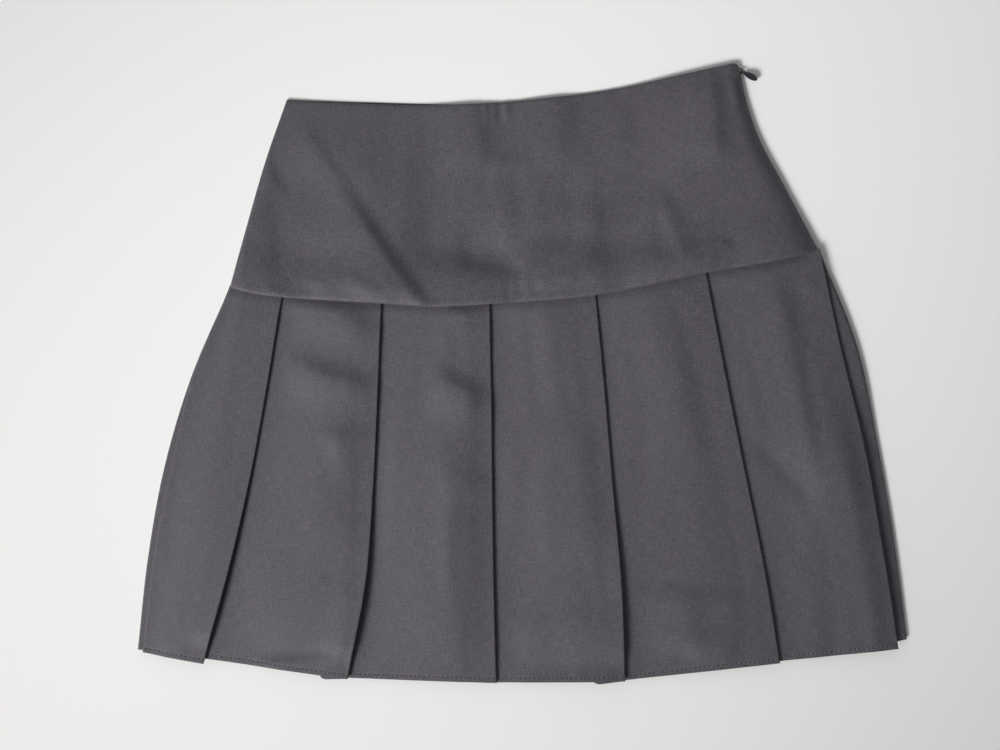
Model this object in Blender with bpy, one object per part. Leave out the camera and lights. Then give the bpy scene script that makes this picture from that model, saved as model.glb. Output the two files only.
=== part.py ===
"""Pleated mini skirt with a hip yoke, laid flat with its front up.

The skirt lies on the plane Z = 0, with X to the right of the laid front and Y towards the waist.
The front and the back each have a smooth yoke and one long folded cloth of knife pleats.
A concealed zip closes the right side, and its drop-shaped pull hangs outside the seam.
Lengths in the tables are millimetres. MM turns them into metres where the meshes are made.
"""

import math
from collections import namedtuple

import bmesh
import bpy
from mathutils import Matrix, Vector

MM = 0.001

# Cloth
WALL = 1.0
SEAM_GAP = 0.3
LAYER = 1.4
BACK_FACE = WALL / 2
FRONT_UNDER = 4.6
FRONT_LEFT = 5.2
FRONT_TOP = FRONT_UNDER + 2 * LAYER
STACK_HEIGHT = FRONT_TOP + WALL / 2
BACK_INNER = STACK_HEIGHT - FRONT_UNDER
FOLD_RADIUS = LAYER / 2
FOLD_STEPS = 3

# Side seams: the height at which the front's edge meets the back's edge
LEFT_SEAM_HEIGHT = (FRONT_LEFT + BACK_INNER) / 2
RIGHT_SEAM_HEIGHT = (FRONT_UNDER + BACK_FACE) / 2
SIDE_STEPS = 3

# Yoke
WAIST_HEIGHT = 2.6
YOKE_SEAM_HEIGHT = 6.2
WAIST_RISE_START = 0.62
SWELL = 2.8
SWELL_TURN = (9.5, 17.0)
SWELL_POWER = 2.6
SWELL_REACH = 90.0
SWELL_SHARES = (1.0, 0.4)
BACK_WAIST_RISE = 1.2
BACK_WAIST_RISE_AT = -135.0
BACK_WAIST_RISE_REACH = 45.0
YOKE_COLUMNS = 12
YOKE_ROWS = (0.0, 0.07, 0.11, 0.25, 0.4, 0.55, 0.7, 0.85, 1.0)

# Rows of the pleats from the seam to the hem, as shares of the pleat's length
PLEAT_ROWS = (0.0, 0.12, 0.25, 0.38, 0.5, 0.62, 0.75, 0.88, 1.0)
RAMP_SHARES = (0.0, 0.33, 0.67, 1.0)
RAMP_AFTER_FOLD = 2.0
RAMP_BEFORE_FOLD = 3.0

# Where a row has its middle points, as shares of their stretch, and how much lift they take
PANEL_MIDDLE = 0.55
PANEL_MIDDLE_LIFT = 0.7
RAMP_LIFT = 0.4
HIDDEN_MIDDLE = 0.45
HIDDEN_MIDDLE_LIFT = 0.25
UNDER_MIDDLE = 0.6

Point = namedtuple("Point", "x y")

# Waist edge of the front, from the left side seam to the right
WAIST = (
    Point(-172.0, 200.0),
    Point(-121.0, 197.3),
    Point(-60.0, 196.2),
    Point(-1.6, 199.3),
    Point(65.5, 207.4),
    Point(122.7, 219.4),
    Point(157.9, 227.1),
)

# Seam between the yoke and the pleats, from left to right
YOKE_SEAM = (
    Point(-213.2, 63.0),
    Point(-197.0, 58.9),
    Point(-174.6, 55.8),
    Point(-102.3, 51.2),
    Point(-64.7, 48.9),
    Point(-23.4, 50.9),
    Point(53.1, 57.4),
    Point(133.2, 73.6),
    Point(183.0, 82.2),
    Point(216.5, 89.9),
)

# Sides of the yoke, from the waist down
YOKE_LEFT = (
    Point(-172.0, 200.0),
    Point(-187.3, 155.8),
    Point(-202.0, 104.4),
    Point(-213.2, 63.0),
)
YOKE_RIGHT = (
    Point(157.9, 227.1),
    Point(163.1, 201.2),
    Point(173.4, 170.9),
    Point(190.2, 139.3),
    Point(216.5, 89.9),
)

# A line from the seam down to the hem. The bows are its sideways distances from straight
# at a quarter, a half and three quarters of the way down.
BOW_PLACES = (0.0, 0.25, 0.5, 0.75, 1.0)
Edge = namedtuple("Edge", "seam_x hem_x hem_y bow_high bow_mid bow_low")

FRONT_LEFT_EDGE = Edge(-212.7, -276.6, -202.7, -11.5, -11.7, -8.3)
FRONT_RIGHT_EDGE = Edge(216.5, 280.9, -193.6, 12.0, 10.8, 6.9)

# A knife pleat: its outer fold is the line, its hidden part reaches back by the depth, its
# lower end stands up by the lift, which starts at the share lift_from of the way down, the
# next panel's hem starts higher by the step, and the hidden part's hem hangs below the
# panel's by the drop.
Fold = namedtuple(
    "Fold",
    "seam_x hem_x hem_y bow_high bow_mid bow_low seam_depth hem_depth lift lift_from step drop",
)

FRONT_FOLDS = (
    Fold(-174.6, -231.6, -210.7, 3.4, 5.3, 4.2, 24.0, 21.0, 2.7, 0.35, 3.3, -1.5),
    Fold(-102.3, -126.8, -221.6, 3.5, 6.4, 7.2, 30.0, 20.2, 3.6, 0.5, 0.1, 3.6),
    Fold(-23.6, -18.6, -224.7, 0.2, -0.3, -0.5, 30.0, 21.0, 0.8, 0.45, -0.2, -1.2),
    Fold(53.3, 74.9, -223.3, 1.5, 2.1, 2.9, 30.0, 22.6, 2.6, 0.5, 0.1, 2.9),
    Fold(133.6, 187.6, -210.3, 0.1, 0.9, 1.8, 30.0, 21.5, 0.8, 0.7, 1.0, -1.4),
    Fold(216.3, 273.6, -199.9, 1.3, 4.2, 2.7, 30.0, 22.0, 1.6, 0.1, 5.1, -1.0),
)

# The back as seen from behind, where its left edge is the right side seam
BACK_LEFT_EDGE = Edge(-216.5, -280.9, -193.6, -12.0, -10.8, -6.9)
BACK_RIGHT_EDGE = Edge(212.7, 276.6, -200.4, 11.5, 11.7, 8.3)
BACK_FOLDS = (
    Fold(-139.0, -188.0, -206.5, -3.0, -4.0, -3.0, 30.0, 22.0, 0.0, 0.0, 0.5, -1.0),
    Fold(-68.0, -95.0, -215.0, -1.0, -2.0, -1.5, 30.0, 21.0, 0.0, 0.0, -0.5, -1.2),
    Fold(3.0, 0.0, -219.5, 0.5, 0.0, -0.5, 30.0, 22.0, 0.0, 0.0, 0.4, -1.0),
    Fold(74.0, 95.0, -218.0, 1.0, 2.5, 2.0, 30.0, 21.0, 0.0, 0.0, 0.5, -1.2),
    Fold(145.0, 190.0, -209.5, 3.0, 5.0, 3.5, 30.0, 22.0, 0.0, 0.0, 0.4, -1.0),
    Fold(213.2, 280.9, -201.4, 11.6, 14.5, 9.6, 28.0, 22.0, 0.0, 0.0, 1.0, -1.0),
)

# Concealed zip in the right side
ZIP_TOP_Y = 214.5
ZIP_END_Y = 12.0
ZIP_HEIGHT = RIGHT_SEAM_HEIGHT
ZIP_ROWS = 14
TAPE_WIDTH = 12.0
TAPE_THICKNESS = 1.2
TAPE_INSET = 3.9
CHAIN_RADIUS = 0.75
CHAIN_INSET = 2.8
SLIDER_Y = 221.2
SLIDER_LENGTH = 7.0
SLIDER_WIDTH = 4.0
SLIDER_THICKNESS = 2.1
SLIDER_FACE_INSET = 1.7
SLIDER_BEVEL = 0.4
SLIT_WIDTH = 1.8
SLIT_OPEN_TO = 0.07
SLIT_SHUT_AT = 0.10
BRIDGE_RADIUS = 1.55
BRIDGE_WIRE = 0.35
BRIDGE_OUT = 0.6
BRIDGE_STEPS = 8
WIRE_SIDES = 10
BRIDGE_ROOT = 0.8

# Pull tab, measured from the axis that it swings on
PULL_LENGTH = 13.8
PULL_WIDTH = 5.0
PULL_THICKNESS = 0.8
PULL_WIDEST_SHARE = 0.66
PULL_FULLNESS = 0.75
PULL_EYE_RADIUS = 1.15
PULL_EYE_RIM = 0.45
PULL_POINTS = 24
EYE_SIDES = 16
PULL_HEADING = math.radians(-30.0)
PULL_PITCH = math.radians(4.0)
PULL_ROLL = math.radians(57.0)

CHARCOAL = (0.072, 0.070, 0.078)
ZIP_CHARCOAL = (0.035, 0.034, 0.040)
PULL_NAVY = (0.012, 0.014, 0.022)


def lerp(start, end, share):
    return start + (end - start) * share


def ease(share):
    """Goes from 0 to 1 with level ends."""
    share = min(max(share, 0.0), 1.0)
    return share * share * (3 - 2 * share)


def smooth_through(known, values, at):
    """The height at one place of a smooth curve through the known points."""
    if known[0] > known[-1]:
        known, values = known[::-1], values[::-1]
    last = len(known) - 2
    i = 0
    while i < last and at > known[i + 1]:
        i += 1
    slopes = []
    for j in (i, i + 1):
        before = max(j - 1, 0)
        after = min(j + 1, len(known) - 1)
        slopes.append((values[after] - values[before]) / (known[after] - known[before]))
    span = known[i + 1] - known[i]
    u = (at - known[i]) / span
    return (
        (2 * u**3 - 3 * u**2 + 1) * values[i]
        + (u**3 - 2 * u**2 + u) * span * slopes[0]
        + (3 * u**2 - 2 * u**3) * values[i + 1]
        + (u**3 - u**2) * span * slopes[1]
    )


def height_of(curve, x):
    """The Y of a curve given by points from left to right."""
    return smooth_through([p.x for p in curve], [p.y for p in curve], x)


def side_of(curve, y):
    """The X of a side given by points from top to bottom."""
    return smooth_through([p.y for p in curve], [p.x for p in curve], y)


def edge_x(edge, t):
    """The X of a fold or an edge at share t of the way from the seam to the hem."""
    bows = (0.0, edge.bow_high, edge.bow_mid, edge.bow_low, 0.0)
    bow = smooth_through(BOW_PLACES, bows, t)
    return lerp(edge.seam_x, edge.hem_x, t) + bow


def turn(centre_x, centre_z, radius, start, end, steps):
    """Points along an arc of the cloth's centre line, as (x, z), angles in degrees."""
    points = []
    for i in range(steps + 1):
        angle = math.radians(lerp(start, end, i / steps))
        points.append((centre_x + radius * math.cos(angle), centre_z + radius * math.sin(angle)))
    return points


def stop_angle(radius, gap):
    """Where a turning layer stops, in degrees, so that its inner corner keeps half the gap."""
    for angle in range(1, 60):
        chord = math.radians(angle + (90 - angle) / (2 * SIDE_STEPS))
        corner = radius * math.sin(math.radians(angle)) - WALL / 2 * math.sin(chord)
        if corner > gap / 2:
            return angle
    return 60


def side_turn(edge, layer, seam_height, gap, outward):
    """The quarter turn that takes a layer's side edge to the side seam, inner end first."""
    radius = abs(layer - seam_height)
    up = 1 if layer > seam_height else -1
    centre = edge - outward * (WALL / 2 + radius)
    arc = turn(0.0, 0.0, radius, 90.0, stop_angle(radius, gap), SIDE_STEPS)
    return [(centre + outward * x, seam_height + up * z) for x, z in arc]


def surface(name, colour, roughness, metallic=0.0):
    material = bpy.data.materials.new(name)
    material.use_nodes = True
    shader = material.node_tree.nodes["Principled BSDF"]
    shader.inputs["Base Color"].default_value = (*colour, 1.0)
    shader.inputs["Roughness"].default_value = roughness
    shader.inputs["Metallic"].default_value = metallic
    return material


def link_mesh(name, shape, material):
    """Turns a bmesh in millimetres into an object in metres."""
    bmesh.ops.scale(shape, vec=(MM, MM, MM), verts=shape.verts)
    mesh = bpy.data.meshes.new(name)
    shape.to_mesh(mesh)
    shape.free()
    thing = bpy.data.objects.new(name, mesh)
    thing.data.materials.append(material)
    bpy.context.scene.collection.objects.link(thing)
    return thing


def give_wall(thing, thickness):
    wall = thing.modifiers.new("wall", "SOLIDIFY")
    wall.thickness = thickness * MM
    wall.offset = 0.0
    wall.use_even_offset = True


def cloth_from_rows(name, rows, material, thickness=WALL):
    """A wall of cloth about the surface through equal rows of points, first row at the waist."""
    across = len(rows[0]) - 1
    down = len(rows) - 1
    shape = bmesh.new()
    bmesh.ops.create_grid(shape, x_segments=across, y_segments=down, size=1.0)
    for corner in shape.verts:
        column = round((corner.co.x + 1) / 2 * across)
        row = round((1 - corner.co.y) / 2 * down)
        corner.co = Vector(rows[row][column])
    thing = link_mesh(name, shape, material)
    give_wall(thing, thickness)
    thing.data.shade_smooth()
    thing.data.set_sharp_from_angle(angle=math.radians(60))
    return thing


def slit_at(t):
    """The opening between the zip's two seam edges: it gapes round the slider, then shuts."""
    return lerp(SLIT_WIDTH, SEAM_GAP, ease((t - SLIT_OPEN_TO) / (SLIT_SHUT_AT - SLIT_OPEN_TO)))


def swell_turn(t):
    """How wide the front yoke's right edge turns down at share t of the way to the seam."""
    return lerp(*SWELL_TURN, t)


def swell_at(away, t):
    """The swelling beside the zip, at a distance from the yoke's right edge."""
    turned = swell_turn(t)
    if away < turned:
        return SWELL * (1 - (1 - max(away, 0.0) / turned) ** SWELL_POWER)
    return SWELL * ease(1 - (away - turned) / SWELL_REACH)


def front_yoke_layer(share, t):
    """Height of the front yoke: low along the waist, and up over the zip and the pleats."""
    over_zip = ease((share - WAIST_RISE_START) / (1 - WAIST_RISE_START))
    waist = lerp(WAIST_HEIGHT, FRONT_UNDER, over_zip)
    seam = lerp(YOKE_SEAM_HEIGHT, FRONT_UNDER, over_zip)
    return lerp(waist, seam, ease(t))


def back_yoke_layer(share, t):
    return BACK_FACE


def front_waist(x):
    return height_of(WAIST, x)


def back_waist(x):
    away = abs(x - BACK_WAIST_RISE_AT) / BACK_WAIST_RISE_REACH
    return height_of(WAIST, x) + BACK_WAIST_RISE * (1 - ease(away))


def yoke_rows(layer_at, waist_at, swell):
    """Rows of points over a yoke, from the waist edge down to the seam."""
    rows = []
    for t in YOKE_ROWS:
        left_y = lerp(WAIST[0].y, YOKE_SEAM[0].y, t)
        right_y = lerp(WAIST[-1].y, YOKE_SEAM[-1].y, t)
        left = side_of(YOKE_LEFT, left_y)
        right = side_of(YOKE_RIGHT, right_y)
        left_seam = (front_yoke_layer(0.0, t) + BACK_FACE) / 2
        start = side_turn(left, layer_at(0.0, t), left_seam, SEAM_GAP, -1)[::-1]
        end = side_turn(right, layer_at(1.0, t), RIGHT_SEAM_HEIGHT, slit_at(t), 1)
        line = list(start)
        columns = [lerp(start[-1][0], end[0][0], i / YOKE_COLUMNS) for i in range(1, YOKE_COLUMNS)]
        columns += [end[0][0] - swell_turn(t) * share for share in SWELL_SHARES]
        for x in columns:
            height = layer_at((x - left) / (right - left), t)
            line.append((x, height + swell * swell_at(end[0][0] - x, t)))
        line += end
        row = []
        for x, z in line:
            share = (x - left) / (right - left)
            top = waist_at(lerp(WAIST[0].x, WAIST[-1].x, share))
            bottom = height_of(YOKE_SEAM, lerp(YOKE_SEAM[0].x, YOKE_SEAM[-1].x, share))
            row.append((x, lerp(top, bottom + SEAM_GAP / 2, t), z))
        rows.append(row)
    return rows


def front_yoke(material):
    return cloth_from_rows("front_yoke", yoke_rows(front_yoke_layer, front_waist, 1.0), material)


def back_yoke(material):
    return cloth_from_rows("back_yoke", yoke_rows(back_yoke_layer, back_waist, 0.0), material)


def depth_of(fold, t):
    return lerp(fold.seam_depth, fold.hem_depth, t)


def lift_of(fold, t):
    """How far a fold's lower end stands up off the cloth under it."""
    return fold.lift * ease((t - fold.lift_from) / (1 - fold.lift_from))


def hem_lines(left_edge, folds, right_edge):
    """For each panel, its hem as two points, and for each fold the hem point of its inner fold."""
    starts = [Point(left_edge.hem_x, left_edge.hem_y)]
    starts += [Point(fold.hem_x, fold.hem_y + fold.step) for fold in folds]
    ends = [Point(fold.hem_x, fold.hem_y) for fold in folds]
    ends.append(Point(right_edge.hem_x, right_edge.hem_y))
    panels = list(zip(starts, ends))
    inner = []
    for fold, (start, end) in zip(folds, panels):
        x = fold.hem_x - fold.hem_depth
        y = lerp(start.y, end.y, (x - start.x) / (end.x - start.x))
        inner.append(Point(x, y - fold.drop))
    return panels, inner


def along(start, end, x):
    """The Y at x on the straight line through two points."""
    return lerp(start.y, end.y, (x - start.x) / (end.x - start.x))


def panel_row(left, right, fold, t, first_layer):
    """Centre line of one panel from its left end to its outer fold, as (x, z)."""
    ramp_start = left + RAMP_AFTER_FOLD
    ramp_end = right - depth_of(fold, t) - RAMP_BEFORE_FOLD
    lift = lift_of(fold, t)
    line = []
    for share in RAMP_SHARES:
        height = lerp(first_layer, FRONT_TOP, ease(share)) + RAMP_LIFT * lift * share**2
        line.append((lerp(ramp_start, ramp_end, share), height))
    middle = lerp(ramp_end, right, PANEL_MIDDLE)
    line.append((middle, FRONT_TOP + PANEL_MIDDLE_LIFT * lift))
    fold_centre = right - WALL / 2 - FOLD_RADIUS
    line += turn(fold_centre, FRONT_TOP - FOLD_RADIUS + lift, FOLD_RADIUS, 90.0, -90.0, FOLD_STEPS)
    return line


def hidden_row(right, fold, t):
    """Centre line of a pleat's hidden part, from under its outer fold round its inner fold."""
    depth = depth_of(fold, t)
    lift = lift_of(fold, t)
    middle = FRONT_UNDER + LAYER
    line = [(right - depth * HIDDEN_MIDDLE, middle + HIDDEN_MIDDLE_LIFT * lift)]
    centre = right - depth + WALL / 2 + FOLD_RADIUS
    line += turn(centre, middle - FOLD_RADIUS, FOLD_RADIUS, 90.0, 270.0, FOLD_STEPS)
    return line


def pleat_rows(left_edge, folds, right_edge, first_layer, left_seam, right_seam, seam_at):
    """Rows of points over a whole pleated cloth, seen from its own face, its layers upwards."""
    panels, inner = hem_lines(left_edge, folds, right_edge)
    rows = []
    for t in PLEAT_ROWS:
        edges = [edge_x(left_edge, t)] + [edge_x(fold, t) for fold in folds]
        start = side_turn(edges[0], first_layer, left_seam, SEAM_GAP, -1)[::-1]
        line = [(x, z, 0, "panel") for x, z in start]
        for k, fold in enumerate(folds):
            if k:
                line.append((edges[k] - WALL / 2, FRONT_UNDER, k, "under"))
            layer = FRONT_UNDER if k else first_layer
            left = edges[k] if k else start[-1][0]
            line += [(x, z, k, "panel") for x, z in panel_row(left, edges[k + 1], fold, t, layer)]
            line += [(x, z, k, "hidden") for x, z in hidden_row(edges[k + 1], fold, t)]
        last = len(folds)
        right = edge_x(right_edge, t)
        end = side_turn(right, FRONT_UNDER, right_seam, SEAM_GAP, 1)
        line.append((lerp(line[-1][0], end[0][0], UNDER_MIDDLE), FRONT_UNDER, last, "under"))
        line += [(x, z, last, "under") for x, z in end]
        rows.append(line)
    return lay_rows(rows, folds, panels, inner, seam_at)


def lay_rows(rows, folds, panels, inner, seam_at):
    """Gives every point its Y: each column runs from the yoke seam straight down to its hem."""
    laid = [[] for _ in rows]
    for column in range(len(rows[0])):
        seam_x, _, k, kind = rows[0][column]
        hem_x = rows[-1][column][0]
        if kind == "hidden":
            hem_y = along(inner[k], Point(folds[k].hem_x, folds[k].hem_y), hem_x)
        elif kind == "under" and hem_x < panels[k][0].x:
            hem_y = along(inner[k - 1], panels[k][0], hem_x)
        else:
            hem_y = along(*panels[k], hem_x)
        seam_y = seam_at(seam_x) - SEAM_GAP / 2
        for t, row, out in zip(PLEAT_ROWS, rows, laid):
            out.append((row[column][0], lerp(seam_y, hem_y, t), row[column][1]))
    return laid


def front_pleats(material):
    rows = pleat_rows(
        FRONT_LEFT_EDGE,
        FRONT_FOLDS,
        FRONT_RIGHT_EDGE,
        FRONT_LEFT,
        LEFT_SEAM_HEIGHT,
        RIGHT_SEAM_HEIGHT,
        lambda x: height_of(YOKE_SEAM, x),
    )
    return cloth_from_rows("front_pleats", rows, material)


def back_pleats(material):
    """Laid out as seen from behind, then turned over about the Y axis to lie under the front."""
    rows = pleat_rows(
        BACK_LEFT_EDGE,
        BACK_FOLDS,
        BACK_RIGHT_EDGE,
        FRONT_TOP,
        STACK_HEIGHT - RIGHT_SEAM_HEIGHT,
        STACK_HEIGHT - LEFT_SEAM_HEIGHT,
        lambda x: height_of(YOKE_SEAM, -x),
    )
    turned = [[(-x, y, STACK_HEIGHT - z) for x, y, z in row] for row in rows]
    return cloth_from_rows("back_pleats", turned, material)


def zip_edge(y):
    """The outer edge of the right side, down the yoke and then down the pleats."""
    corner = YOKE_SEAM[-1].y
    if y >= corner:
        return Vector((side_of(YOKE_RIGHT, y), y, ZIP_HEIGHT))
    t = (corner - y) / (corner - FRONT_RIGHT_EDGE.hem_y)
    return Vector((edge_x(FRONT_RIGHT_EDGE, t), y, ZIP_HEIGHT))


def zip_directions(y):
    """At one place on the zip: outwards from the side seam, and up along it."""
    upwards = (zip_edge(y + 1.0) - zip_edge(y - 1.0)).normalized()
    outwards = Vector((upwards.y, -upwards.x, 0.0))
    return outwards, upwards


def zip_line(inset):
    """Points down the zip at one distance inside the edge."""
    points = []
    for i in range(ZIP_ROWS + 1):
        y = lerp(ZIP_TOP_Y, ZIP_END_Y, i / ZIP_ROWS)
        outwards, _ = zip_directions(y)
        points.append(zip_edge(y) - outwards * inset)
    return points


def zip_tapes(material):
    """The closed zip's two tapes, lying on each other inside the side seam."""
    inner = zip_line(TAPE_INSET + TAPE_WIDTH)
    outer = zip_line(TAPE_INSET)
    return cloth_from_rows("zip_tapes", list(zip(inner, outer)), material, TAPE_THICKNESS)


def zip_chain(material):
    """The closed coil, a cord along the tapes' outer edge."""
    line = bpy.data.curves.new("zip_chain", "CURVE")
    line.dimensions = "3D"
    line.bevel_depth = CHAIN_RADIUS * MM
    line.bevel_resolution = 1
    line.use_fill_caps = True
    points = zip_line(CHAIN_INSET)
    spline = line.splines.new("POLY")
    spline.points.add(len(points) - 1)
    for place, point in zip(spline.points, points):
        place.co = (*(point * MM), 1.0)
    chain = bpy.data.objects.new("zip_chain", line)
    line.materials.append(material)
    bpy.context.scene.collection.objects.link(chain)
    return chain


def slider_place():
    """Where the bridge's centre is, and how the slider is turned: its X out of the seam."""
    outwards, upwards = zip_directions(SLIDER_Y)
    centre = zip_edge(SLIDER_Y) + outwards * BRIDGE_OUT
    heading = math.atan2(outwards.y, outwards.x)
    return centre, heading


def bridge_shape():
    """The slider's bridge: a round wire out of the body, half round its centre and back in."""
    shape = bmesh.new()
    leg = BRIDGE_OUT + SLIDER_FACE_INSET + BRIDGE_ROOT
    stand = Matrix.Translation((-leg, BRIDGE_RADIUS, 0.0)) @ Matrix.Rotation(math.pi / 2, 4, "Y")
    bmesh.ops.create_circle(shape, segments=WIRE_SIDES, radius=BRIDGE_WIRE, matrix=stand)
    grown = bmesh.ops.extrude_edge_only(shape, edges=shape.edges[:])["geom"]
    end = [part for part in grown if isinstance(part, bmesh.types.BMVert)]
    bmesh.ops.translate(shape, verts=end, vec=(leg, 0.0, 0.0))
    rim = [part for part in grown if isinstance(part, bmesh.types.BMEdge)]
    spun = bmesh.ops.spin(
        shape,
        geom=end + rim,
        cent=(0.0, 0.0, 0.0),
        axis=(0.0, 0.0, 1.0),
        angle=-math.pi,
        steps=BRIDGE_STEPS,
    )["geom_last"]
    rim = [part for part in spun if isinstance(part, bmesh.types.BMEdge)]
    grown = bmesh.ops.extrude_edge_only(shape, edges=rim)["geom"]
    end = [part for part in grown if isinstance(part, bmesh.types.BMVert)]
    bmesh.ops.translate(shape, verts=end, vec=(-leg, 0.0, 0.0))
    bmesh.ops.holes_fill(shape, edges=shape.edges[:], sides=WIRE_SIDES)
    bmesh.ops.recalc_face_normals(shape, faces=shape.faces[:])
    return shape


def zip_slider(material):
    """The slider's body inside the seam, with its bridge standing out through the slit."""
    centre, heading = slider_place()
    body = bmesh.new()
    size = Matrix.Diagonal((SLIDER_WIDTH, SLIDER_LENGTH, SLIDER_THICKNESS, 1.0))
    inside = -(BRIDGE_OUT + SLIDER_FACE_INSET + SLIDER_WIDTH / 2)
    bmesh.ops.create_cube(body, size=1.0, matrix=Matrix.Translation((inside, 0.0, 0.0)) @ size)
    bmesh.ops.bevel(
        body,
        geom=body.edges[:],
        offset=SLIDER_BEVEL,
        segments=2,
        profile=0.5,
        affect="EDGES",
        material=-1,
    )
    slider = link_mesh("zip_slider", body, material)
    bridge = link_mesh("bridge_wire", bridge_shape(), material)
    bridge.hide_render = True
    bridge.display_type = "WIRE"
    for piece in (slider, bridge):
        piece.location = centre * MM
        piece.rotation_euler = (0.0, 0.0, heading)
    join = slider.modifiers.new("bridge", "BOOLEAN")
    join.operation = "UNION"
    join.solver = "EXACT"
    join.object = bridge
    return slider


def pull_half_width(x):
    """Half the width of the drop at a distance from the bridge's centre."""
    share = (x - BRIDGE_RADIUS) / (PULL_LENGTH - BRIDGE_RADIUS)
    widest = math.log(0.5) / math.log(PULL_WIDEST_SHARE)
    return PULL_WIDTH / 2 * max(math.sin(math.pi * share**widest), 0.0) ** PULL_FULLNESS


def pull_outline():
    """The upper side of the pull from its eye to its tip, as (x, half width)."""
    eye = PULL_EYE_RADIUS + PULL_EYE_RIM
    points = []
    for i in range(PULL_POINTS):
        turned = math.pi * (1 - i / (PULL_POINTS - 1))
        middle = (PULL_LENGTH + BRIDGE_RADIUS - eye) / 2
        x = middle + (PULL_LENGTH - middle) * math.cos(turned)
        ring = math.sqrt(max(eye**2 - (x - BRIDGE_RADIUS) ** 2, 0.0))
        drop = pull_half_width(x) if x > BRIDGE_RADIUS else 0.0
        points.append((x, max(ring, drop)))
    return points


def zip_pull(material):
    """A flat drop with an eye round the bridge, its origin on the axis that it swings on."""
    shape = bmesh.new()
    upper = pull_outline()
    lower = [(x, -half) for x, half in upper[-2:0:-1]]
    rim = [shape.verts.new((x, y, 0.0)) for x, y in upper + lower]
    for i, corner in enumerate(rim):
        shape.edges.new((rim[i - 1], corner))
    eye = Matrix.Translation((BRIDGE_RADIUS, 0.0, 0.0))
    bmesh.ops.create_circle(shape, segments=EYE_SIDES, radius=PULL_EYE_RADIUS, matrix=eye)
    bmesh.ops.triangle_fill(shape, use_beauty=True, edges=shape.edges[:])
    bmesh.ops.recalc_face_normals(shape, faces=shape.faces[:])
    pull = link_mesh("zip_pull", shape, material)
    give_wall(pull, PULL_THICKNESS)
    centre, _ = slider_place()
    pull.location = centre * MM
    pull.rotation_euler = (PULL_ROLL, -PULL_PITCH, PULL_HEADING)
    return pull


def clear_scene():
    for thing in list(bpy.data.objects):
        bpy.data.objects.remove(thing)


def build():
    clear_scene()
    cloth = surface("charcoal_cloth", CHARCOAL, 0.85)
    webbing = surface("zip_webbing", ZIP_CHARCOAL, 0.8)
    lacquer = surface("zip_lacquer", PULL_NAVY, 0.35, 0.4)
    front_yoke(cloth)
    back_yoke(cloth)
    front_pleats(cloth)
    back_pleats(cloth)
    zip_tapes(webbing)
    zip_chain(webbing)
    zip_slider(lacquer)
    zip_pull(lacquer)


build()
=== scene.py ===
"""Pleated mini skirt with a hip yoke, laid flat with its front up.

Lengths in the tables are millimetres, and MM turns them into metres where a mesh is made.
X is to the right of the laid front, Y towards the waist and Z up from the surface.
"""

import math
from collections import namedtuple

import bmesh
import bpy
from mathutils import Euler, Matrix, Vector, noise


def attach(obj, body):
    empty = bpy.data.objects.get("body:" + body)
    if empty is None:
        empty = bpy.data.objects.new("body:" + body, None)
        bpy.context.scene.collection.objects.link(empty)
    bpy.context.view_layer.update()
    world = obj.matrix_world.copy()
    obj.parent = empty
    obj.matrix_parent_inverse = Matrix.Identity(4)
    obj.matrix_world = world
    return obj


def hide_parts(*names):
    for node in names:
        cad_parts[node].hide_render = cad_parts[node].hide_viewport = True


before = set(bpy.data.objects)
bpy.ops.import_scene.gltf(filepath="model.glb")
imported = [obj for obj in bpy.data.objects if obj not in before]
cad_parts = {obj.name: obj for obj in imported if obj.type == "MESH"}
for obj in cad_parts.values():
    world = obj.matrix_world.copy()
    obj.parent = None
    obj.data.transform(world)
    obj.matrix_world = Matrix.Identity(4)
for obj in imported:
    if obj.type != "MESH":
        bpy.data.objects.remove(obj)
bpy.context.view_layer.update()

# ------------------------------------------------
# Front pleats: one strip of charcoal suiting, folded into six knife pleats and pressed. Its side
# edges turn down to the side seams, its layers are pinched together where the yoke is sewn over
# them, and its lower edge is turned up in a narrow hem.

MM = 0.001

# Thickness of the cloth and of its turned-up hem, and the distance from layer to layer, which
# is smaller down to the share SQUEEZE_END of the way, where the yoke's seam pinches them
CLOTH = 0.7
HEM_CLOTH = 1.1
LAYER = 1.4
SEAM_LAYER = 0.85
SQUEEZE_END = 0.08

# Heights of the layers' middles: under the front's folds, at its left edge, and at its right
# edge, where the last strip sags below the zip's end with a soft hump on its way
FRONT_UNDER = 4.6
FRONT_LEFT = 5.2
LAST_HEIGHT = 3.2
LAST_HUMP = 0.7
LAST_HUMP_AT = 0.6
LAST_HUMP_WIDTH = 0.25
ZIP_END_SHARE = 0.3
SAG_SHARE = 0.2
SAG_FROM = 0.5
FRONT_TOP = FRONT_UNDER + 2 * LAYER
BACK_FACE = CLOTH / 2
STACK_HEIGHT = FRONT_TOP + BACK_FACE
BACK_INNER = STACK_HEIGHT - FRONT_UNDER
LEFT_SEAM_HEIGHT = (FRONT_LEFT + BACK_INNER) / 2
RIGHT_SEAM_HEIGHT = (FRONT_UNDER + BACK_FACE) / 2
SEAM_GAP = 0.1
SEAM_LIP = CLOTH / 8
SIDE_TURN_MOST = 0.9
TUCK = 1.5

# Rows of the pleated cloth, as distances from its top edge and from its hem
PLEAT_LENGTH = 280.0
STITCH_HEIGHT = 3.3
TOP_ROWS = (0.0, 0.8, 1.6, 2.6, 4.0, 6.0, 8.5)
HEM_ROWS = (6.5, 5.0, 4.2, STITCH_HEIGHT, 2.5, 1.7, 0.9, 0.35, 0.0)
ROW_STEP = 2.8
STITCH_ROW = HEM_ROWS.index(STITCH_HEIGHT) - len(HEM_ROWS)
HEM_BAND = 5.0
HEM_STEP = 1.5
HEM_GROOVE = 0.22
HEM_GROOVE_WIDTH = 0.5

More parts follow.
